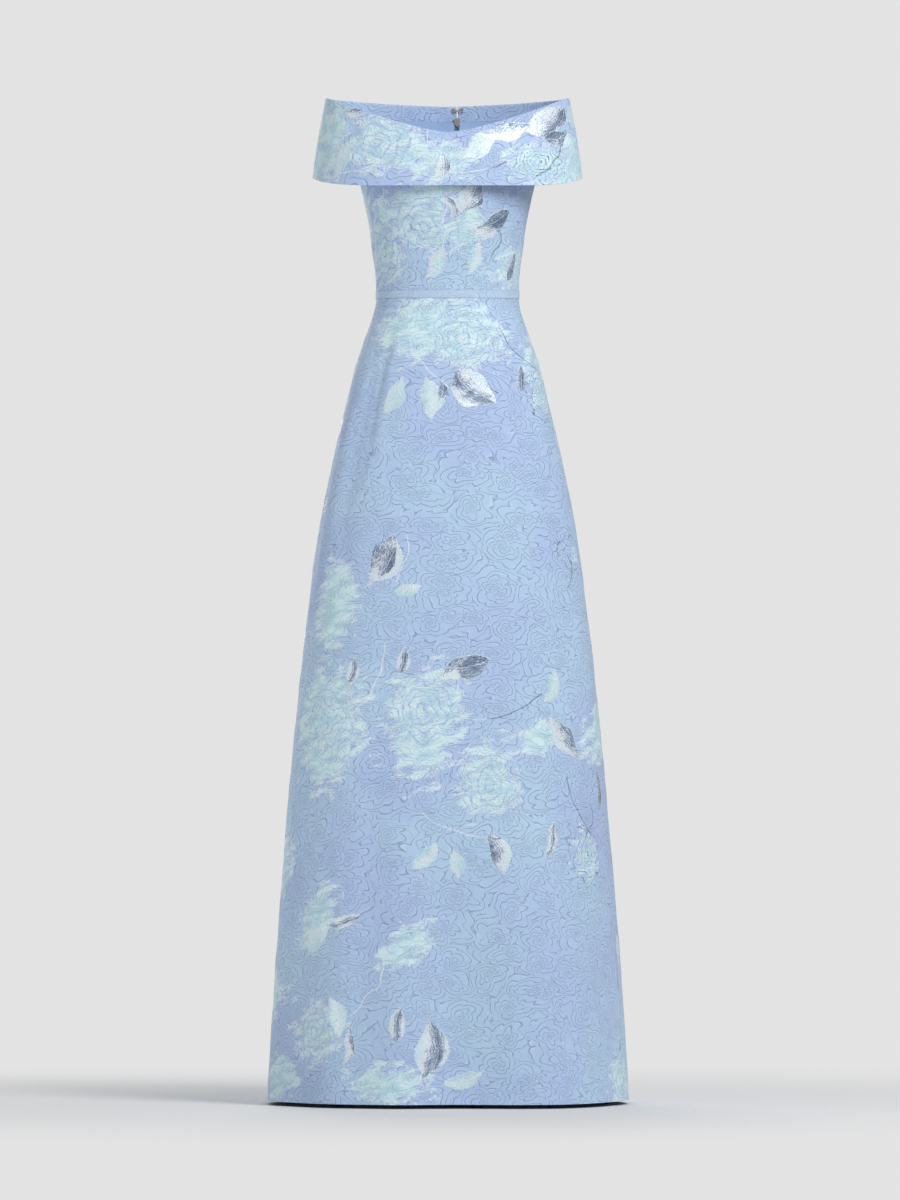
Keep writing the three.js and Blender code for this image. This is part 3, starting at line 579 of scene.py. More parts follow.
print("a motif's flat axes touch the form at its middle")

# %% [markdown]
# ## Finishes
# Shader maths is written as plain expressions: this small class wraps a socket, and each operator
# adds the Math node that it stands for. Every other node comes from one method that sets the
# node's options first and then its sockets.

# %% A wrapper for shader maths
class Shade:
    """A socket in a material's node tree, with arithmetic."""

    def __init__(self, finish, socket):
        self.finish, self.socket = finish, socket

    def maths(self, operation, *others):
        sockets = dict(enumerate((self, *others)))
        node = self.finish.node("ShaderNodeMath", {"operation": operation}, sockets)
        return Shade(self.finish, node.outputs[0])

    def __add__(self, other):
        return self.maths("ADD", other)

    def __sub__(self, other):
        return self.maths("SUBTRACT", other)

    def __rsub__(self, other):
        return self.maths("MULTIPLY", -1).maths("ADD", other)

    def __mul__(self, other):
        return self.maths("MULTIPLY", other)

    __radd__ = __add__
    __rmul__ = __mul__

    def sine(self):
        return self.maths("SINE")

    def size(self):
        return self.maths("ABSOLUTE")

    def most(self, other):
        return self.maths("MAXIMUM", other)

    def least(self, other):
        return self.maths("MINIMUM", other)

    def step(self, low, high, start=0.0, end=1.0):
        """A soft step from start to end as the value goes from low to high."""
        node = self.finish.node(
            "ShaderNodeMapRange",
            {"interpolation_type": "SMOOTHSTEP"},
            {"Value": self, "From Min": low, "From Max": high, "To Min": start, "To Max": end},
        )
        return Shade(self.finish, node.outputs["Result"])


class Finish:
    """A material that is made up of nodes on its way to one Principled shader."""

    def __init__(self, name, **constants):
        self.material = bpy.data.materials.new(name)
        self.material.use_nodes = True
        self.tree = self.material.node_tree
        self.shader = self.tree.nodes["Principled BSDF"]
        for socket, value in constants.items():
            self.shader.inputs[socket.replace("_", " ")].default_value = value

    def node(self, kind, settings=None, sockets=None):
        node = self.tree.nodes.new(kind)
        for setting, value in (settings or {}).items():
            setattr(node, setting, value)
        for socket, value in (sockets or {}).items():
            self.set(node.inputs[socket], value)
        return node

    def set(self, socket, value):
        if isinstance(value, Shade):
            value = value.socket
        if isinstance(value, bpy.types.NodeSocket):
            self.tree.links.new(value, socket)
        else:
            socket.default_value = value

    def value(self, kind, settings=None, sockets=None, output=0):
        return Shade(self, self.node(kind, settings, sockets).outputs[output])

    def mix(self, share, first, second):
        """Two colours mixed by a share."""
        node = self.node("ShaderNodeMix", {"data_type": "RGBA"})
        self.set(node.inputs[0], share)
        self.set(node.inputs[6], first)
        self.set(node.inputs[7], second)
        return node.outputs[2]

    def noise(self, place, scale, detail=2.0):
        return self.value("ShaderNodeTexNoise", None, {"Vector": place, "Scale": scale, "Detail": detail})

    def place(self):
        return self.node("ShaderNodeTexCoord").outputs["Object"]

    def cloth(self):
        return self.node("ShaderNodeUVMap", {"uv_map": "cloth"}).outputs[0]

    def vectors(self, operation, first, second):
        settings = {"operation": operation}
        return self.node("ShaderNodeVectorMath", settings, {0: first, 1: second}).outputs[0]

    def parts(self, vector):
        node = self.node("ShaderNodeSeparateXYZ", None, {0: vector})
        return [Shade(self, socket) for socket in node.outputs]

    def joined(self, *values):
        return self.node("ShaderNodeCombineXYZ", None, dict(enumerate(values))).outputs[0]

    def bump(self, height, distance, strength=1.0, normal=None):
        sockets = {"Height": height, "Distance": distance, "Strength": strength}
        if normal is not None:
            sockets["Normal"] = normal
        return self.node("ShaderNodeBump", None, sockets).outputs["Normal"]

    def use(self, **links):
        for socket, value in links.items():
            self.set(self.shader.inputs[socket.replace("_", " ")], value)
        return self.material


def srgb(r, g, b):
    """A colour as the eye reads it, 0 to 255, turned into the light that the shader wants."""
    shares = [c / 255 for c in (r, g, b)]
    return tuple(((c + 0.055) / 1.055) ** 2.4 for c in shares) + (1,)


print("sky blue in light:", [round(c, 3) for c in srgb(180, 205, 235)[:3]])

# %% [markdown]
# Blistered jacquard has two layers of weft that are joined only along the drawing's lines. When
# the cloth shrinks, the part between the lines puffs up. The drawing here is a field of flat roses
# that lie over one another, each a coil of thin petal lines. Noise bends the field, a Voronoi
# texture gives each rose its middle, and polar coordinates round that middle give the coil. The
# lines are low and come and go, with painted shade in them and a painted highlight beside them.

# %% The blistered ground
ROSE_WIDE, ROSE_TALL = 0.054, 0.036


def rose_ground(finish, stretch=1.0):
    """Height, painted shade in the grooves and a painted highlight beside them, each 0 to 1."""
    cloth = finish.cloth()
    field = finish.vectors("MULTIPLY", cloth, (1 / ROSE_WIDE, stretch / ROSE_TALL, 1))
    wobble = finish.node("ShaderNodeTexNoise", None, {"Vector": field, "Scale": 0.9, "Detail": 1.0})
    bend = finish.vectors("SUBTRACT", wobble.outputs["Color"], (0.5, 0.5, 0.5))
    place = finish.vectors("ADD", field, bend)
    flat, sockets = {"voronoi_dimensions": "2D"}, {"Vector": place, "Scale": 1.0}
    cells = finish.node("ShaderNodeTexVoronoi", flat, sockets)
    rims = finish.value("ShaderNodeTexVoronoi", flat | {"feature": "DISTANCE_TO_EDGE"}, sockets)
    x, y, _ = finish.parts(finish.vectors("SUBTRACT", place, cells.outputs["Position"]))
    chance = finish.parts(cells.outputs["Color"])[0]
    turned = y.maths("ARCTAN2", x)
    radius = Shade(finish, cells.outputs["Distance"])
    fine = finish.noise(cloth, 170.0, 2.0)
    petals = (turned * 2.5 + radius * 5 + chance * 9).sine().size()
    coil = (radius.maths("POWER", 0.7) * 6.6 - petals * 0.7 + fine * 0.25) * (2 * math.pi)
    here = finish.noise(cloth, 70.0, 2.0)
    groove = coil.sine().step(-1.0, -0.8, 1, 0)
    rim = rims.step(0.0, 0.05, 1, 0) * here.step(0.5, 0.62)
    height = rims.step(0.0, 0.4) * 0.16 - rim * 0.15 - groove * 0.26
    # Painted shade in the grooves and along the rims, and a painted highlight beside each groove.
    dark = (groove * here.step(0.34, 0.5)).most(rim * 0.5) * 0.85
    groove_highlight = (coil + 1.0).sine().step(-1.0, -0.84, 1, 0) * here.step(0.4, 0.56)
    return cloth, height, dark, groove_highlight


PERIWINKLE, AQUA = srgb(176, 198, 235), srgb(182, 211, 236)
# The darker blue is painted shade; the pale one is white thread and also a painted highlight.
SHADE_BLUE, THREAD_AND_HIGHLIGHT = srgb(112, 136, 174), srgb(222, 234, 248)
MINT, MINT_PALE = srgb(190, 225, 235), srgb(218, 242, 246)
SILVER, PEWTER, SLATE = srgb(234, 241, 247), srgb(150, 166, 186), srgb(88, 106, 134)


def foil_colour(finish, tone):
    """Mint thread, then silver, pewter and slate as the tone rises."""
    colour = finish.mix(tone.step(-0.15, 0.15), MINT, MINT_PALE)
    colour = finish.mix(tone.step(0.2, 0.42), colour, SILVER)
    colour = finish.mix(tone.step(0.56, 0.74), colour, PEWTER)
    return finish.mix(tone.step(0.8, 1.0), colour, SLATE)


def jacquard(name):
    finish = Finish(name, Sheen_Weight=0.2, Sheen_Roughness=0.4, Specular_IOR_Level=0.35)
    cloth, height, dark, groove_highlight = rose_ground(finish)
    position = finish.place()
    shapes, lines, blades = (
        finish.parts(finish.node("ShaderNodeAttribute", {"attribute_name": word}).outputs["Vector"])
        for word in ("shapes", "lines", "blades")
    )
    (mint, leaf_in, tone), (stem, mask, petals), (along, across, ink) = shapes, lines, blades
    u, v, _ = finish.parts(cloth)
    slanted = finish.joined(u * 30 + v * 24, v * 80 - u * 26)
    broad, brush = finish.noise(position, 5.5, 3.0), finish.noise(slanted, 1.0, 5.0)
    wisp, speck = finish.noise(cloth, 260.0, 3.0), finish.noise(cloth, 620.0, 4.0)
    colour = finish.mix(broad.step(0.36, 0.66), PERIWINKLE, AQUA)
    colour = finish.mix(speck.step(0.3, 0.7) * 0.1, colour, THREAD_AND_HIGHLIGHT)

    # Brushed mint, parted between the petals, with a broken white thread along its rim.
    coil = ((petals + (brush - 0.5) * 9) * (2 * math.pi / 11)).sine()
    in_rose = petals.step(40, 50, 1, 0)
    edge = mint + (brush - 0.5) * 2.2 - 0.2
    patch = edge.step(0.0, 0.2) * (1 - coil.step(-1.0, -0.4, 1, 0) * in_rose * 0.8)
    mints = finish.mix((brush * 0.7 + wisp * 0.3).step(0.42, 0.6), MINT, MINT_PALE)
    colour = finish.mix(patch * (0.3 + brush * 1.2).least(0.96), colour, mints)
    # Painted shade in the woven grooves, less over the mint, and a painted highlight beside them.
    colour = finish.mix(dark * (0.5 + speck * 0.3) * (1 - patch * 0.75), colour, SHADE_BLUE)
    colour = finish.mix(groove_highlight * 0.36, colour, THREAD_AND_HIGHLIGHT)
    rim = edge.size().step(0.02, 0.09, 1, 0) * wisp.step(0.4, 0.55) * (mint + 0.6).step(0.0, 0.2)
    colour = finish.mix(rim * 0.7, colour, SILVER)

    # Petal lines in silver, or in slate where the rose is inked.
    petal = coil.step(0.84, 0.99) * in_rose * wisp.step(0.42, 0.54) * brush.step(0.4, 0.52)
    colour = finish.mix(petal * 0.85, colour, finish.mix(ink.step(0.4, 0.6), SILVER, SLATE))

    # Leaves, streaked along their length.
    streak = finish.noise(finish.joined(along * 0.14, across * 1.1, tone), 1.0, 3.0)
    leaf_edge = leaf_in + (wisp - 0.5) * 6 + (speck - 0.5) * 6
    leaf = leaf_edge.step(-0.6, 1.2)
    shaded = tone + (streak - 0.5) * 1.2 + (speck - 0.5) * 0.9 + (brush - 0.5) * 0.8
    colour = finish.mix(leaf * (0.5 + wisp * 0.8).least(1), colour, foil_colour(finish, shaded))
    # The rib and the rim of a leaf, and the stems: slate on the wearer's left, silver on the right.
    rib = across.size().step(0.2, 0.8, 1, 0) * leaf * wisp.step(0.4, 0.5)
    outline = (leaf_in + (wisp - 0.5) * 4).size().step(0.2, 1.0, 1, 0) * brush.step(0.4, 0.5)
    colour = finish.mix(rib.most(outline) * 0.7, colour, SILVER)
    thin = (stem + (wisp - 0.5) * 2.6).size().step(0.4, 1.3, 1, 0) * mask.step(0.4, 0.6)
    on_left = finish.parts(position)[0].step(0.05, 0.07)
    colour = finish.mix(thin * 0.7, colour, finish.mix(on_left, SILVER, SLATE))

    shine = (leaf * speck.step(0.42, 0.6)).most(petal * 0.5)
    height = height * (1 - leaf * 0.5) + leaf * 0.2 + petal * 0.25 + patch * 0.1
    weave = finish.bump(finish.noise(cloth, 1400.0, 1.0), 0.0002, 0.5)
    relief = finish.bump(height, 0.0017, 0.9, weave)
    rough, metallic = 0.66 - shine * 0.34, shine * 0.5
    return finish.use(Base_Color=colour, Roughness=rough, Metallic=metallic, Normal=relief)


JACQUARD = jacquard("jacquard")
print("woven roses", ROSE_WIDE * 1000, "by", ROSE_TALL * 1000, "mm")

# %% [markdown]
# The wrong side shows where one looks into the gown: plain floats of sky-blue weft, matt, with
# the blisters only faint. The waistband is the same cloth pulled flat. The lining is satin.

# %% Wrong side, waistband and lining
def wrong_side():
    finish = Finish("wrong_side", Specular_IOR_Level=0.3)
    cloth, height, dark, _ = rose_ground(finish)
    fine = finish.noise(cloth, 700.0, 3.0)
    # The weft is darker with painted shade in the woven grooves, and with fine noise.
    colour = finish.mix(dark * 0.3 + fine * 0.25, srgb(160, 186, 220), srgb(134, 160, 196))
    relief = finish.bump(height * 0.5 + fine * 0.4, 0.0006, 0.6)
    return finish.use(Base_Color=colour, Roughness=0.7 + fine * 0.15, Normal=relief)


def band_cloth():
    finish = Finish("band_cloth", Sheen_Weight=0.2, Specular_IOR_Level=0.35)
    cloth, height, dark, groove_highlight = rose_ground(finish, 1.2)
    v = finish.parts(cloth)[1]
    fine = finish.noise(cloth, 800.0, 2.0)
    # Painted shade in the grooves and a painted highlight beside them, then painted shade along the two
    # long edges where they roll in.
    colour = finish.mix(dark * 0.6 + fine * 0.16, srgb(190, 213, 236), srgb(146, 170, 204))
    colour = finish.mix(groove_highlight * 0.5, colour, THREAD_AND_HIGHLIGHT)
    edges = ((v + BAND_HALF * 0.001).size() - 0.0045).step(0.0, 0.0014)
    colour = finish.mix(edges * 0.35, colour, SHADE_BLUE)
    relief = finish.bump(height * 0.7 + fine * 0.3, 0.0009, 0.7)
    return finish.use(Base_Color=colour, Roughness=0.58 + fine * 0.12, Normal=relief)


def satin():
    finish = Finish("satin", Sheen_Weight=0.1, Specular_IOR_Level=0.5, Anisotropic=0.4)
    cloth = finish.cloth()
    broad = finish.noise(cloth, 22.0, 2.0)
    yarn = (finish.parts(cloth)[0] * 9000).sine() * 0.5 + 0.5
    colour = finish.mix(broad.step(0.3, 0.7), srgb(156, 188, 228), srgb(168, 198, 233))
    relief = finish.bump(yarn * 0.3 + broad, 0.0004, 0.5)
    return finish.use(Base_Color=colour, Roughness=0.36 + broad * 0.16, Normal=relief)


WRONG_SIDE, BAND, SATIN = wrong_side(), band_cloth(), satin()
print("finishes so far:", len(bpy.data.materials))

# %% [markdown]
# ## Bodice and skirt
# Ten panels hang between the seams: the front, two sides and two backs, above the waist and
# below it. Neighbours meet at the seam lines, closer than their solids do. Close to a seam the
# cloth turns in a little, because the allowances behind it pull on the stitches.

# %% Panels between the seams
SEAM = 0.02
SKIRT_ROWS, ZIP_ROW, SKIRT_EASE = 18, 5, 1.4  # rows of the model's skirt, the zip's last one
BODICE_FOOT_Z = BAND_HALF + SEAM / 2
ZIP_FOOT_Z = lerp(-BODICE_FOOT_Z, HEM_Z, (ZIP_ROW / SKIRT_ROWS) ** SKIRT_EASE)


def seam_gap(z):
    return np.full(np.shape(z), SEAM)


def opening_gap(z):
    return lerp(SEAM, ZIP_GAP, smooth(z, ZIP_FOOT_Z, ZIP_FOOT_Z + 20))


def side_seam(z):
    return 90 + 0 * z


def opening_from_right(z):
    return opening_angle(z) - 360


def mirrored(seam):
    return lambda z: -seam(z)


# The two lines that bound a panel, and the gaps at them.
PANELS = {
    "front": (mirrored(princess_seam), princess_seam, seam_gap, seam_gap),
    "side_left": (princess_seam, side_seam, seam_gap, seam_gap),
    "side_right": (mirrored(side_seam), mirrored(princess_seam), seam_gap, seam_gap),
    "back_left": (side_seam, opening_angle, seam_gap, opening_gap),
    "back_right": (opening_from_right, mirrored(side_seam), opening_gap, seam_gap),
}


def panel_points(panel, heights, columns, rows, out=0.0):
    """A panel's face as a grid of points, moved out by a distance."""
    start_at, end_at, start_gap, end_gap = panel
    across = np.linspace(0, 1, columns + 1)[None, :]
    down = np.linspace(0, 1, rows + 1)[:, None]
    degrees = lerp(start_at(np.zeros(1)), end_at(np.zeros(1)), across) + 0 * down
    for _ in range(4):
        z = heights(degrees, down)
        level = z[:, :1] if np.ptp(z, axis=1).max() < 1e-6 else z
        start = angle_beside(start_at(level), level, start_gap(level) / 2)
        end = angle_beside(end_at(level), level, -end_gap(level) / 2)
        degrees = lerp(start, end, across)
    if out:
        return gown_offset(degrees, level, np.full(degrees.shape, out))
    return gown_face(degrees, level)


def turned_in(points, ends, deep=0.25, reach=3.0):
    """Moves a grid's points in along the sewn edges and lays the unevenness over the rest."""
    _, along, whole, _ = cloth_lengths(points)
    drop = np.cumsum(np.linalg.norm(np.diff(points, axis=0, prepend=points[:1]), axis=-1), axis=0)
    rest = drop[-1:] - drop
    edge = np.exp(-along / reach) + np.exp(-(whole - along) / reach)
    edge = edge + ends[0] * np.exp(-drop / reach) + ends[1] * np.exp(-rest / reach)
    calm = np.clip(np.minimum(np.minimum(along, whole - along), np.minimum(drop, rest)) / 12, 0, 1)
    loose = calm * (0.55 * uneven(points, 62) + 0.3 * uneven(points[..., ::-1], 29) - 0.35)
    return points + grid_normals(points) * (loose - deep * np.minimum(edge, 1))[..., None]


def skirt_heights(degrees, down):
    return lerp(-BODICE_FOOT_Z, HEM_Z, down) + 0 * degrees


def bodice_heights(degrees, down):
    return lerp(bodice_top_z(degrees), BODICE_FOOT_Z, down)


def cloth_area(points):
    a = points[1:, 1:] - points[:-1, :-1]
    b = points[1:, :-1] - points[:-1, 1:]
    return float(np.linalg.norm(np.cross(a, b), axis=-1).sum() / 2) * MM * MM


def declare(sheet, points, held, rests_on, slot, *nodes):
    """Puts a sheet on the gown, in the place of its solids, and states its cut."""
    wide = np.linalg.norm(np.diff(points, axis=1), axis=-1).sum(axis=1).max()
    long = np.linalg.norm(np.diff(points, axis=0), axis=-1).sum(axis=0).max()
    flat = (max(0.01, float(wide) * MM), float(long) * MM)
    area = min(cloth_area(points), flat[0] * flat[1])
    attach(sheet, "gown")
    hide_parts(*nodes)
    print(sheet.name, "cut", round(flat[0], 3), "x", round(flat[1], 3), "m,", round(area, 4), "m2")


# For each half of the gown: heights, rows, columns of a wide and of a side panel, the share of
# turning in at the foot, and motifs.
HALVES = {
    "skirt": (skirt_heights, 290, 104, 60, 0.4, placed(gown_face, SKIRT_MOTIFS, SKIRT_BEHIND)),
    "bodice": (bodice_heights, 84, 70, 42, 1, placed(gown_face, BODICE_MOTIFS, BODICE_BEHIND)),
}
for half, (heights, rows, wide, narrow, foot, motifs) in HALVES.items():
    for part, panel in PANELS.items():
        columns = narrow if "side" in part else wide
        points = turned_in(panel_points(panel, heights, columns, rows), ends=(1, foot))
        sheet, places = sheet_object(f"{half}_{part}_cloth", points, CLOTH, [JACQUARD, WRONG_SIDE])
        write_fields(sheet, places, motif_fields(points, motifs))
        band = "front" if part == "front" else part.split("_")[1]
        declare(sheet, points, "hung", [f"waistband_{band}"], "jacquard", f"{half}_{part}")

# %% [markdown]
# The waistband is a doubled strip that is set in between bodice and skirt, seamed in line with
# the princess seams. It stands 0.6 mm proud and its two long edges roll in to their seams.

# %% Waistband
PROUD = 0.6  # how far the waistband stands out
WAISTBANDS = {
    "front": PANELS["front"],
    "left": (princess_seam, opening_angle, seam_gap, opening_gap),
    "right": (opening_from_right, mirrored(princess_seam), opening_gap, seam_gap),
}


def band_heights(degrees, down):
    return lerp(BAND_HALF - SEAM / 2, SEAM / 2 - BAND_HALF, down) + 0 * degrees


for side, panel in WAISTBANDS.items():
    columns = 60 if side == "front" else 96
    form = panel_points(panel, band_heights, columns, 9, PROUD)
    points = turned_in(form, ends=(1, 1), deep=0.3, reach=1.8)
    band, _ = sheet_object(f"waistband_{side}_cloth", points, CLOTH + PROUD, [BAND, WRONG_SIDE])
    beside = "front" if side == "front" else "side_" + side
    declare(band, points, "laid", [f"bodice_{beside}_cloth"], "waistband", f"waistband_{side}")

# %% [markdown]
# ## Collar
# The collar is one folded strip: its flap hangs outside over the upper arms, its rolled edge is
# soft, and the facing turns down inside, where it shows at the back. The sheet follows the
# cloth's outer side from the facing's foot, over the roll and down the flap.

# %% Fold-over collar
def collar_face(degrees, z):
    """Points on the flap's outer face by angle and height."""
    degrees, z = np.broadcast_arrays(np.asarray(degrees, float), np.asarray(z, float))
    x, _ = plan_point(EDGE, degrees)
    behind = from_front(degrees) > 90
    spring = collar_edge_z(x, behind) - ROLL
    foot_x, foot_y = plan_point(FOOT, degrees)
    share = np.clip((spring - z) / (spring - collar_foot_z(foot_x, foot_y)), 0, 1)
    return flap_point(degrees, share)


def flap_point(degrees, share):
    """Points on the flap's outer face, a share of the way down from the roll."""
    edge, foot = plan_point(EDGE, degrees), plan_point(FOOT, degrees)
    out = plan_outward(EDGE, degrees)
    behind = from_front(degrees) > 90
    spring = collar_edge_z(edge[0], behind) - ROLL
    swell = BULGE * 4 * share * (1 - share)
    x = lerp(edge[0], foot[0], share) + out[0] * swell
    y = lerp(edge[1], foot[1], share) + out[1] * swell
    return np.stack([x, y, lerp(spring, collar_foot_z(*foot), share)], axis=-1)


def collar_points(start, end, columns):
    degrees = np.linspace(start, end, columns + 1)[None, :]
    edge = np.stack(plan_point(EDGE, degrees), -1)
    out = np.stack(plan_outward(EDGE, degrees), -1)
    behind = from_front(degrees) > 90
    spring = collar_edge_z(edge[..., 0], behind) - ROLL

    def inside(inset, z):
        level = edge - out * np.asarray(inset)[..., None]
        return np.concatenate([level, np.broadcast_to(z, degrees.shape)[..., None]], axis=-1)

    facing = [inside(2 * ROLL, spring - drop) for drop in np.linspace(FACING - ROLL, 0, 9)]
    angles = np.linspace(0, math.pi, 9)[1:-1]
    roll = [inside(ROLL + ROLL * math.cos(a), spring + ROLL * math.sin(a)) for a in angles]
    flap = [flap_point(degrees, np.full(degrees.shape, s)) for s in np.linspace(0, 1, 42)]
    return np.concatenate(facing + roll + flap)


def collar_beside(degrees, distance):
    (x1, y1), (x0, y0) = plan_point(EDGE, degrees + 0.5), plan_point(EDGE, degrees - 0.5)
    return degrees + distance / math.hypot(x1 - x0, y1 - y0)


opening = math.degrees(math.atan2(OPENING_X, -float(plan_depth(EDGE, OPENING_X, True))))
COLLARS = {
    "front": (collar_beside(-90, SEAM / 2), collar_beside(90, -SEAM / 2), 190),
    "back_left": (collar_beside(90, SEAM / 2), collar_beside(opening, -ZIP_GAP / 2), 94),
    "back_right": (collar_beside(opening - 360, ZIP_GAP / 2), collar_beside(-90, -SEAM / 2), 104),
}
COLLAR_PLACED = placed(collar_face, COLLAR_MOTIFS, COLLAR_BEHIND)
BARE_ROWS, CALM_ROWS = 12, 18  # rows from the facing's foot that have no motif, and no unevenness
for part, (start, end, columns) in COLLARS.items():
    form = collar_points(start, end, columns)
    points = turned_in(form, ends=(0.5, 0.2), deep=0.5, reach=2.2)
    # The roll and the facing stay on their form, and only the flap is uneven.
    hold = np.clip((np.arange(len(form)) - CALM_ROWS) / 8, 0, 1)[:, None, None]
    points = lerp(form, points, hold)
    collar, places = sheet_object(f"collar_{part}_cloth", points, CLOTH, [JACQUARD, WRONG_SIDE])
    fields = motif_fields(points, COLLAR_PLACED)
    fields["shapes"][:BARE_ROWS] = (-1.0, -FAR, 0.0)
    fields["lines"][:BARE_ROWS] = (FAR, 0.0, FAR)
    write_fields(collar, places, fields)
    held_by = "bodice_front_cloth" if part == "front" else f"bodice_{part}_cloth"
    declare(collar, points, "folded", [held_by], "jacquard", f"collar_{part}")

# %% [markdown]
# ## Inside the back
# The satin lining lies on the zip's tape and stops beside the coil. It hangs from the neck seam
# to the waist, a millimetre thick.

# %% Lining
LINING, LINING_BEHIND, COIL_WIDE = 1.0, 1.9, 2.2  # thickness, distance behind the jacquard, coil


def lining_gap(z):
    return np.full(np.shape(z), 2 * (ZIP_GAP / 2 + CLEAR + COIL_WIDE + CLEAR))


LININGS = {
    "left": (side_seam, opening_angle, seam_gap, lining_gap),
    "right": (opening_from_right, mirrored(side_seam), lining_gap, seam_gap),
}
for side, panel in LININGS.items():
    points = panel_points(panel, bodice_heights, 60, 64, -CLOTH - LINING_BEHIND)
    lining, _ = sheet_object(f"lining_back_{side}_cloth", points, LINING, [SATIN])
    declare(lining, points, "hung", [f"bodice_back_{side}_cloth"], "lining", f"lining_back_{side}")

# %% [markdown]
# The zip's tape is woven and a little darker than the gown. It lies inside the opening, with the
# coil along its edge. One turn is spun as a helix from a small circle and repeated down the tape,
# and the turns are joined to one continuous thread of nylon, as in a real zip.

# %% Zip tapes and coils
TAPE_TOP, TAPE_START, TAPE_WIDE, TAPE_CLEAR, TAPE_THICK = 246.5, 1.2, 10, 0.8, 0.75
COIL_PITCH, COIL_RADIUS, NYLON_RADIUS, COIL_STEPS = 1.5, 0.72, 0.34, 9
COIL_BESIDE, COIL_BEHIND, COIL_FLAT = 2.3, 4.0, 0.62  # from the opening, from the face, pressed


def woven_tape():
    finish = Finish("woven_tape", Specular_IOR_Level=0.3)
    place = finish.place()
    ribs = (finish.parts(place)[2] * 5200).sine() * 0.5 + 0.5
    fine = finish.noise(place, 1200.0, 2.0)
    colour = finish.mix(ribs * 0.4 + fine * 0.3, srgb(112, 132, 160), srgb(84, 102, 130))
    relief = finish.bump(ribs, 0.0002, 0.6)
    return finish.use(Base_Color=colour, Roughness=0.66 + fine * 0.16, Normal=relief)


def nylon():
    finish = Finish("nylon", Specular_IOR_Level=0.5)
    place = finish.place()
    fine = finish.noise(place, 600.0, 2.0)
    colour = finish.mix(fine, srgb(120, 140, 168), srgb(142, 162, 190))
    relief = finish.bump(fine, 0.0001, 0.4)
    return finish.use(Base_Color=colour, Roughness=0.34 + fine * 0.14, Normal=relief)


WOVEN_TAPE, NYLON = woven_tape(), nylon()


def beside_opening(z, distance, out):
    """Points beside the opening: a distance along the cloth and a distance out of its face."""
    return gown_offset(angle_beside(opening_angle(z), z, -distance), z, out)


def coil_object(name, side):
    turns = int((TAPE_TOP - ZIP_FOOT_Z - 2) / COIL_PITCH)
    bm = bmesh.new()
    ring = bmesh.ops.create_circle(bm, segments=6, radius=NYLON_RADIUS)
    upright = Matrix.Rotation(math.pi / 2, 3, "X")
    bmesh.ops.rotate(bm, verts=ring["verts"], cent=(0, 0, 0), matrix=upright)
    bmesh.ops.translate(bm, verts=ring["verts"], vec=(COIL_RADIUS, 0, 0))
    rise = (0, 0, -COIL_PITCH / COIL_STEPS)
    bmesh.ops.spin(
        bm, geom=bm.verts[:] + bm.edges[:], cent=(0, 0, 0), axis=(0, 0, 1), dvec=rise,
        angle=2 * math.pi, steps=COIL_STEPS, use_merge=False, use_duplicate=False,
    )
    one_turn = bm.verts[:] + bm.edges[:] + bm.faces[:]
    for turn in range(1, turns):
        copied = bmesh.ops.duplicate(bm, geom=one_turn)["geom"]
        below = [item for item in copied if isinstance(item, bmesh.types.BMVert)]
        bmesh.ops.translate(bm, verts=below, vec=(0, 0, -COIL_PITCH * turn))
    bmesh.ops.remove_doubles(bm, verts=bm.verts, dist=0.001)
    mesh = mesh_from(bm, name)
    co = np.empty(len(mesh.vertices) * 3)
    mesh.vertices.foreach_get("co", co)
    co = co.reshape(-1, 3)
    z = TAPE_TOP - 1 + co[:, 2]
    distance, out = side * (COIL_BESIDE + co[:, 0]), -COIL_BEHIND + co[:, 1] * COIL_FLAT
    laid = beside_opening(z, distance, out)
    mesh.vertices.foreach_set("co", (laid * MM).ravel())
    mesh.shade_smooth()
    mesh.materials.append(NYLON)
    coil = add_object(name, mesh)
    bm = bmesh.new()
    bm.from_mesh(mesh)
    bmesh.ops.holes_fill(bm, edges=[e for e in bm.edges if e.is_boundary], sides=8)
    bmesh.ops.recalc_face_normals(bm, faces=bm.faces)
    bm.to_mesh(mesh)
    bm.free()
    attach(coil, "gown")
    return coil


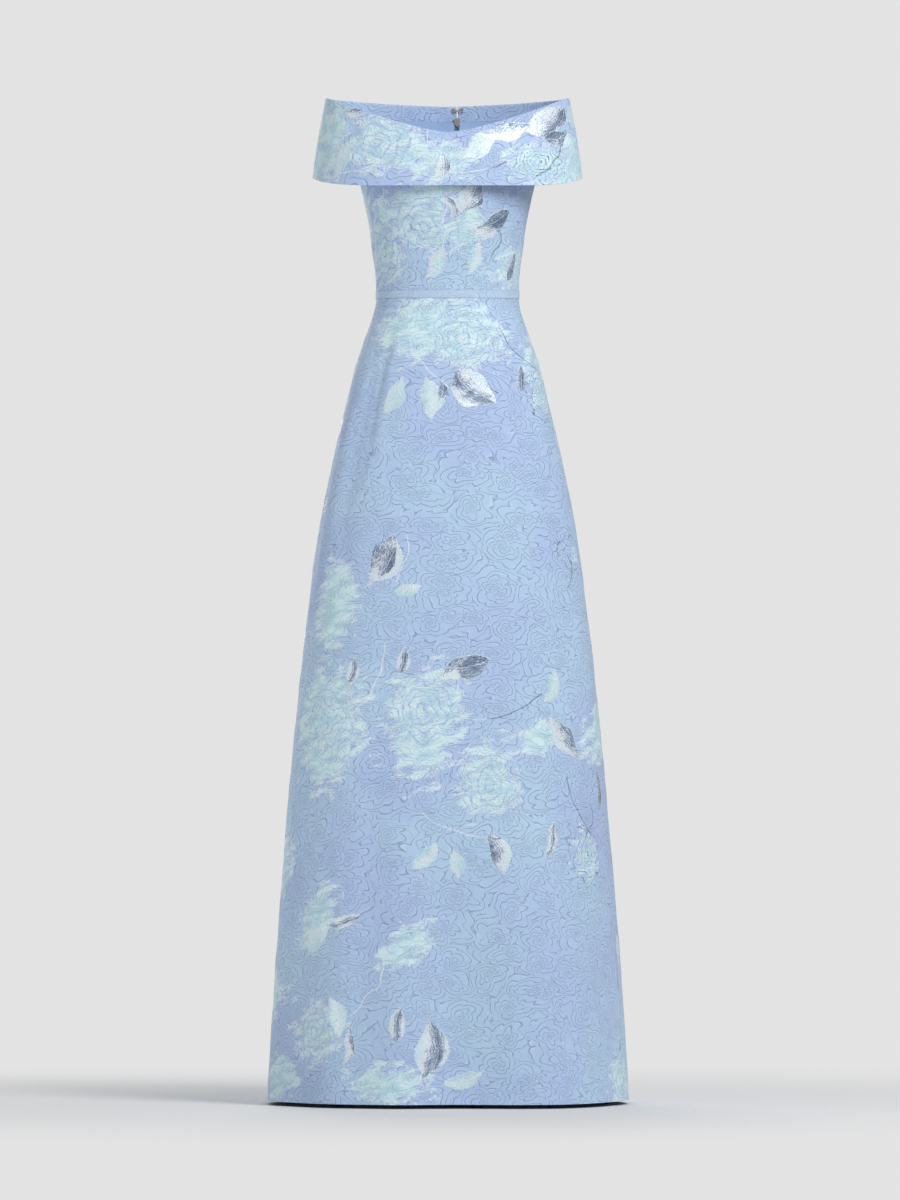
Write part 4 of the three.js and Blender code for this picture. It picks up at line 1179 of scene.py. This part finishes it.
for side, sign in (("left", 1), ("right", -1)):
    heights = np.linspace(TAPE_TOP, ZIP_FOOT_Z, 120)[:, None]
    reach = np.linspace(TAPE_START, TAPE_WIDE, 5)[::-sign]
    height, distance = np.broadcast_arrays(heights, reach[None, :])
    behind = np.full(height.shape, -CLOTH - TAPE_CLEAR)
    points = beside_opening(height, sign * distance, behind)
    tape, _ = sheet_object(f"zip_tape_{side}_cloth", points, TAPE_THICK, [WOVEN_TAPE])
    declare(tape, points, "laid", [f"bodice_back_{side}_cloth"], "zip_tape", f"zip_tape_{side}")
    coil = coil_object(f"zip_coil_{side}", sign)
    print(coil.name, len(coil.data.polygons), "faces")

# %% [markdown]
# ## Metal
# Slider, pull, hook and eye keep the model's own shape. They are plated steel with a warm tint,
# a little duller where they rub and with very fine scratches.

# %% Plated steel on the fastenings
def plated_steel():
    finish = Finish("plated_steel")
    place = finish.place()
    worn = finish.noise(place, 300.0, 3.0)
    streaks = finish.node("ShaderNodeMapping", None, {"Vector": place, "Scale": (3000, 3000, 300)})
    scratch = finish.noise(streaks.outputs[0], 1.0, 2.0)
    colour = finish.mix(worn, srgb(206, 200, 184), srgb(176, 170, 156))
    return finish.use(
        Base_Color=colour, Metallic=0.9 + worn * 0.1, Roughness=0.2 + worn * 0.22,
        Normal=finish.bump(scratch, 0.00004, 0.5),
    )


STEEL = plated_steel()
METAL_NODES = ("zip_slider", "zip_pull", "hook", "eye")
for node in METAL_NODES:
    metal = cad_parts[node]
    metal.data.materials.clear()
    metal.data.materials.append(STEEL)
print("metal nodes:", len(METAL_NODES))

# %% [markdown]
# ## The floor
# A pale paper floor lies just below the hem. It is as light as the studio's grey and fades out
# into it, so that no horizon cuts across the picture.

# %% Floor
FLOOR_Z = HEM_Z * MM - 0.006
bm = bmesh.new()
bmesh.ops.create_circle(bm, cap_ends=True, segments=96, radius=2)
bmesh.ops.translate(bm, verts=bm.verts, vec=(0, 0, FLOOR_Z))
floor_mesh = mesh_from(bm, "floor")
paper = Finish("paper", Roughness=0.9, Specular_IOR_Level=0.1)
px, py, _ = paper.parts(paper.place())
away = (px * px + py * py).maths("SQRT")
paper.use(Base_Color=srgb(228, 228, 228), Alpha=away.step(0.4, 1.7, 1, 0))
floor_mesh.materials.append(paper.material)
floor = add_object("floor", floor_mesh)
print("floor at", round(FLOOR_Z, 3), "m")
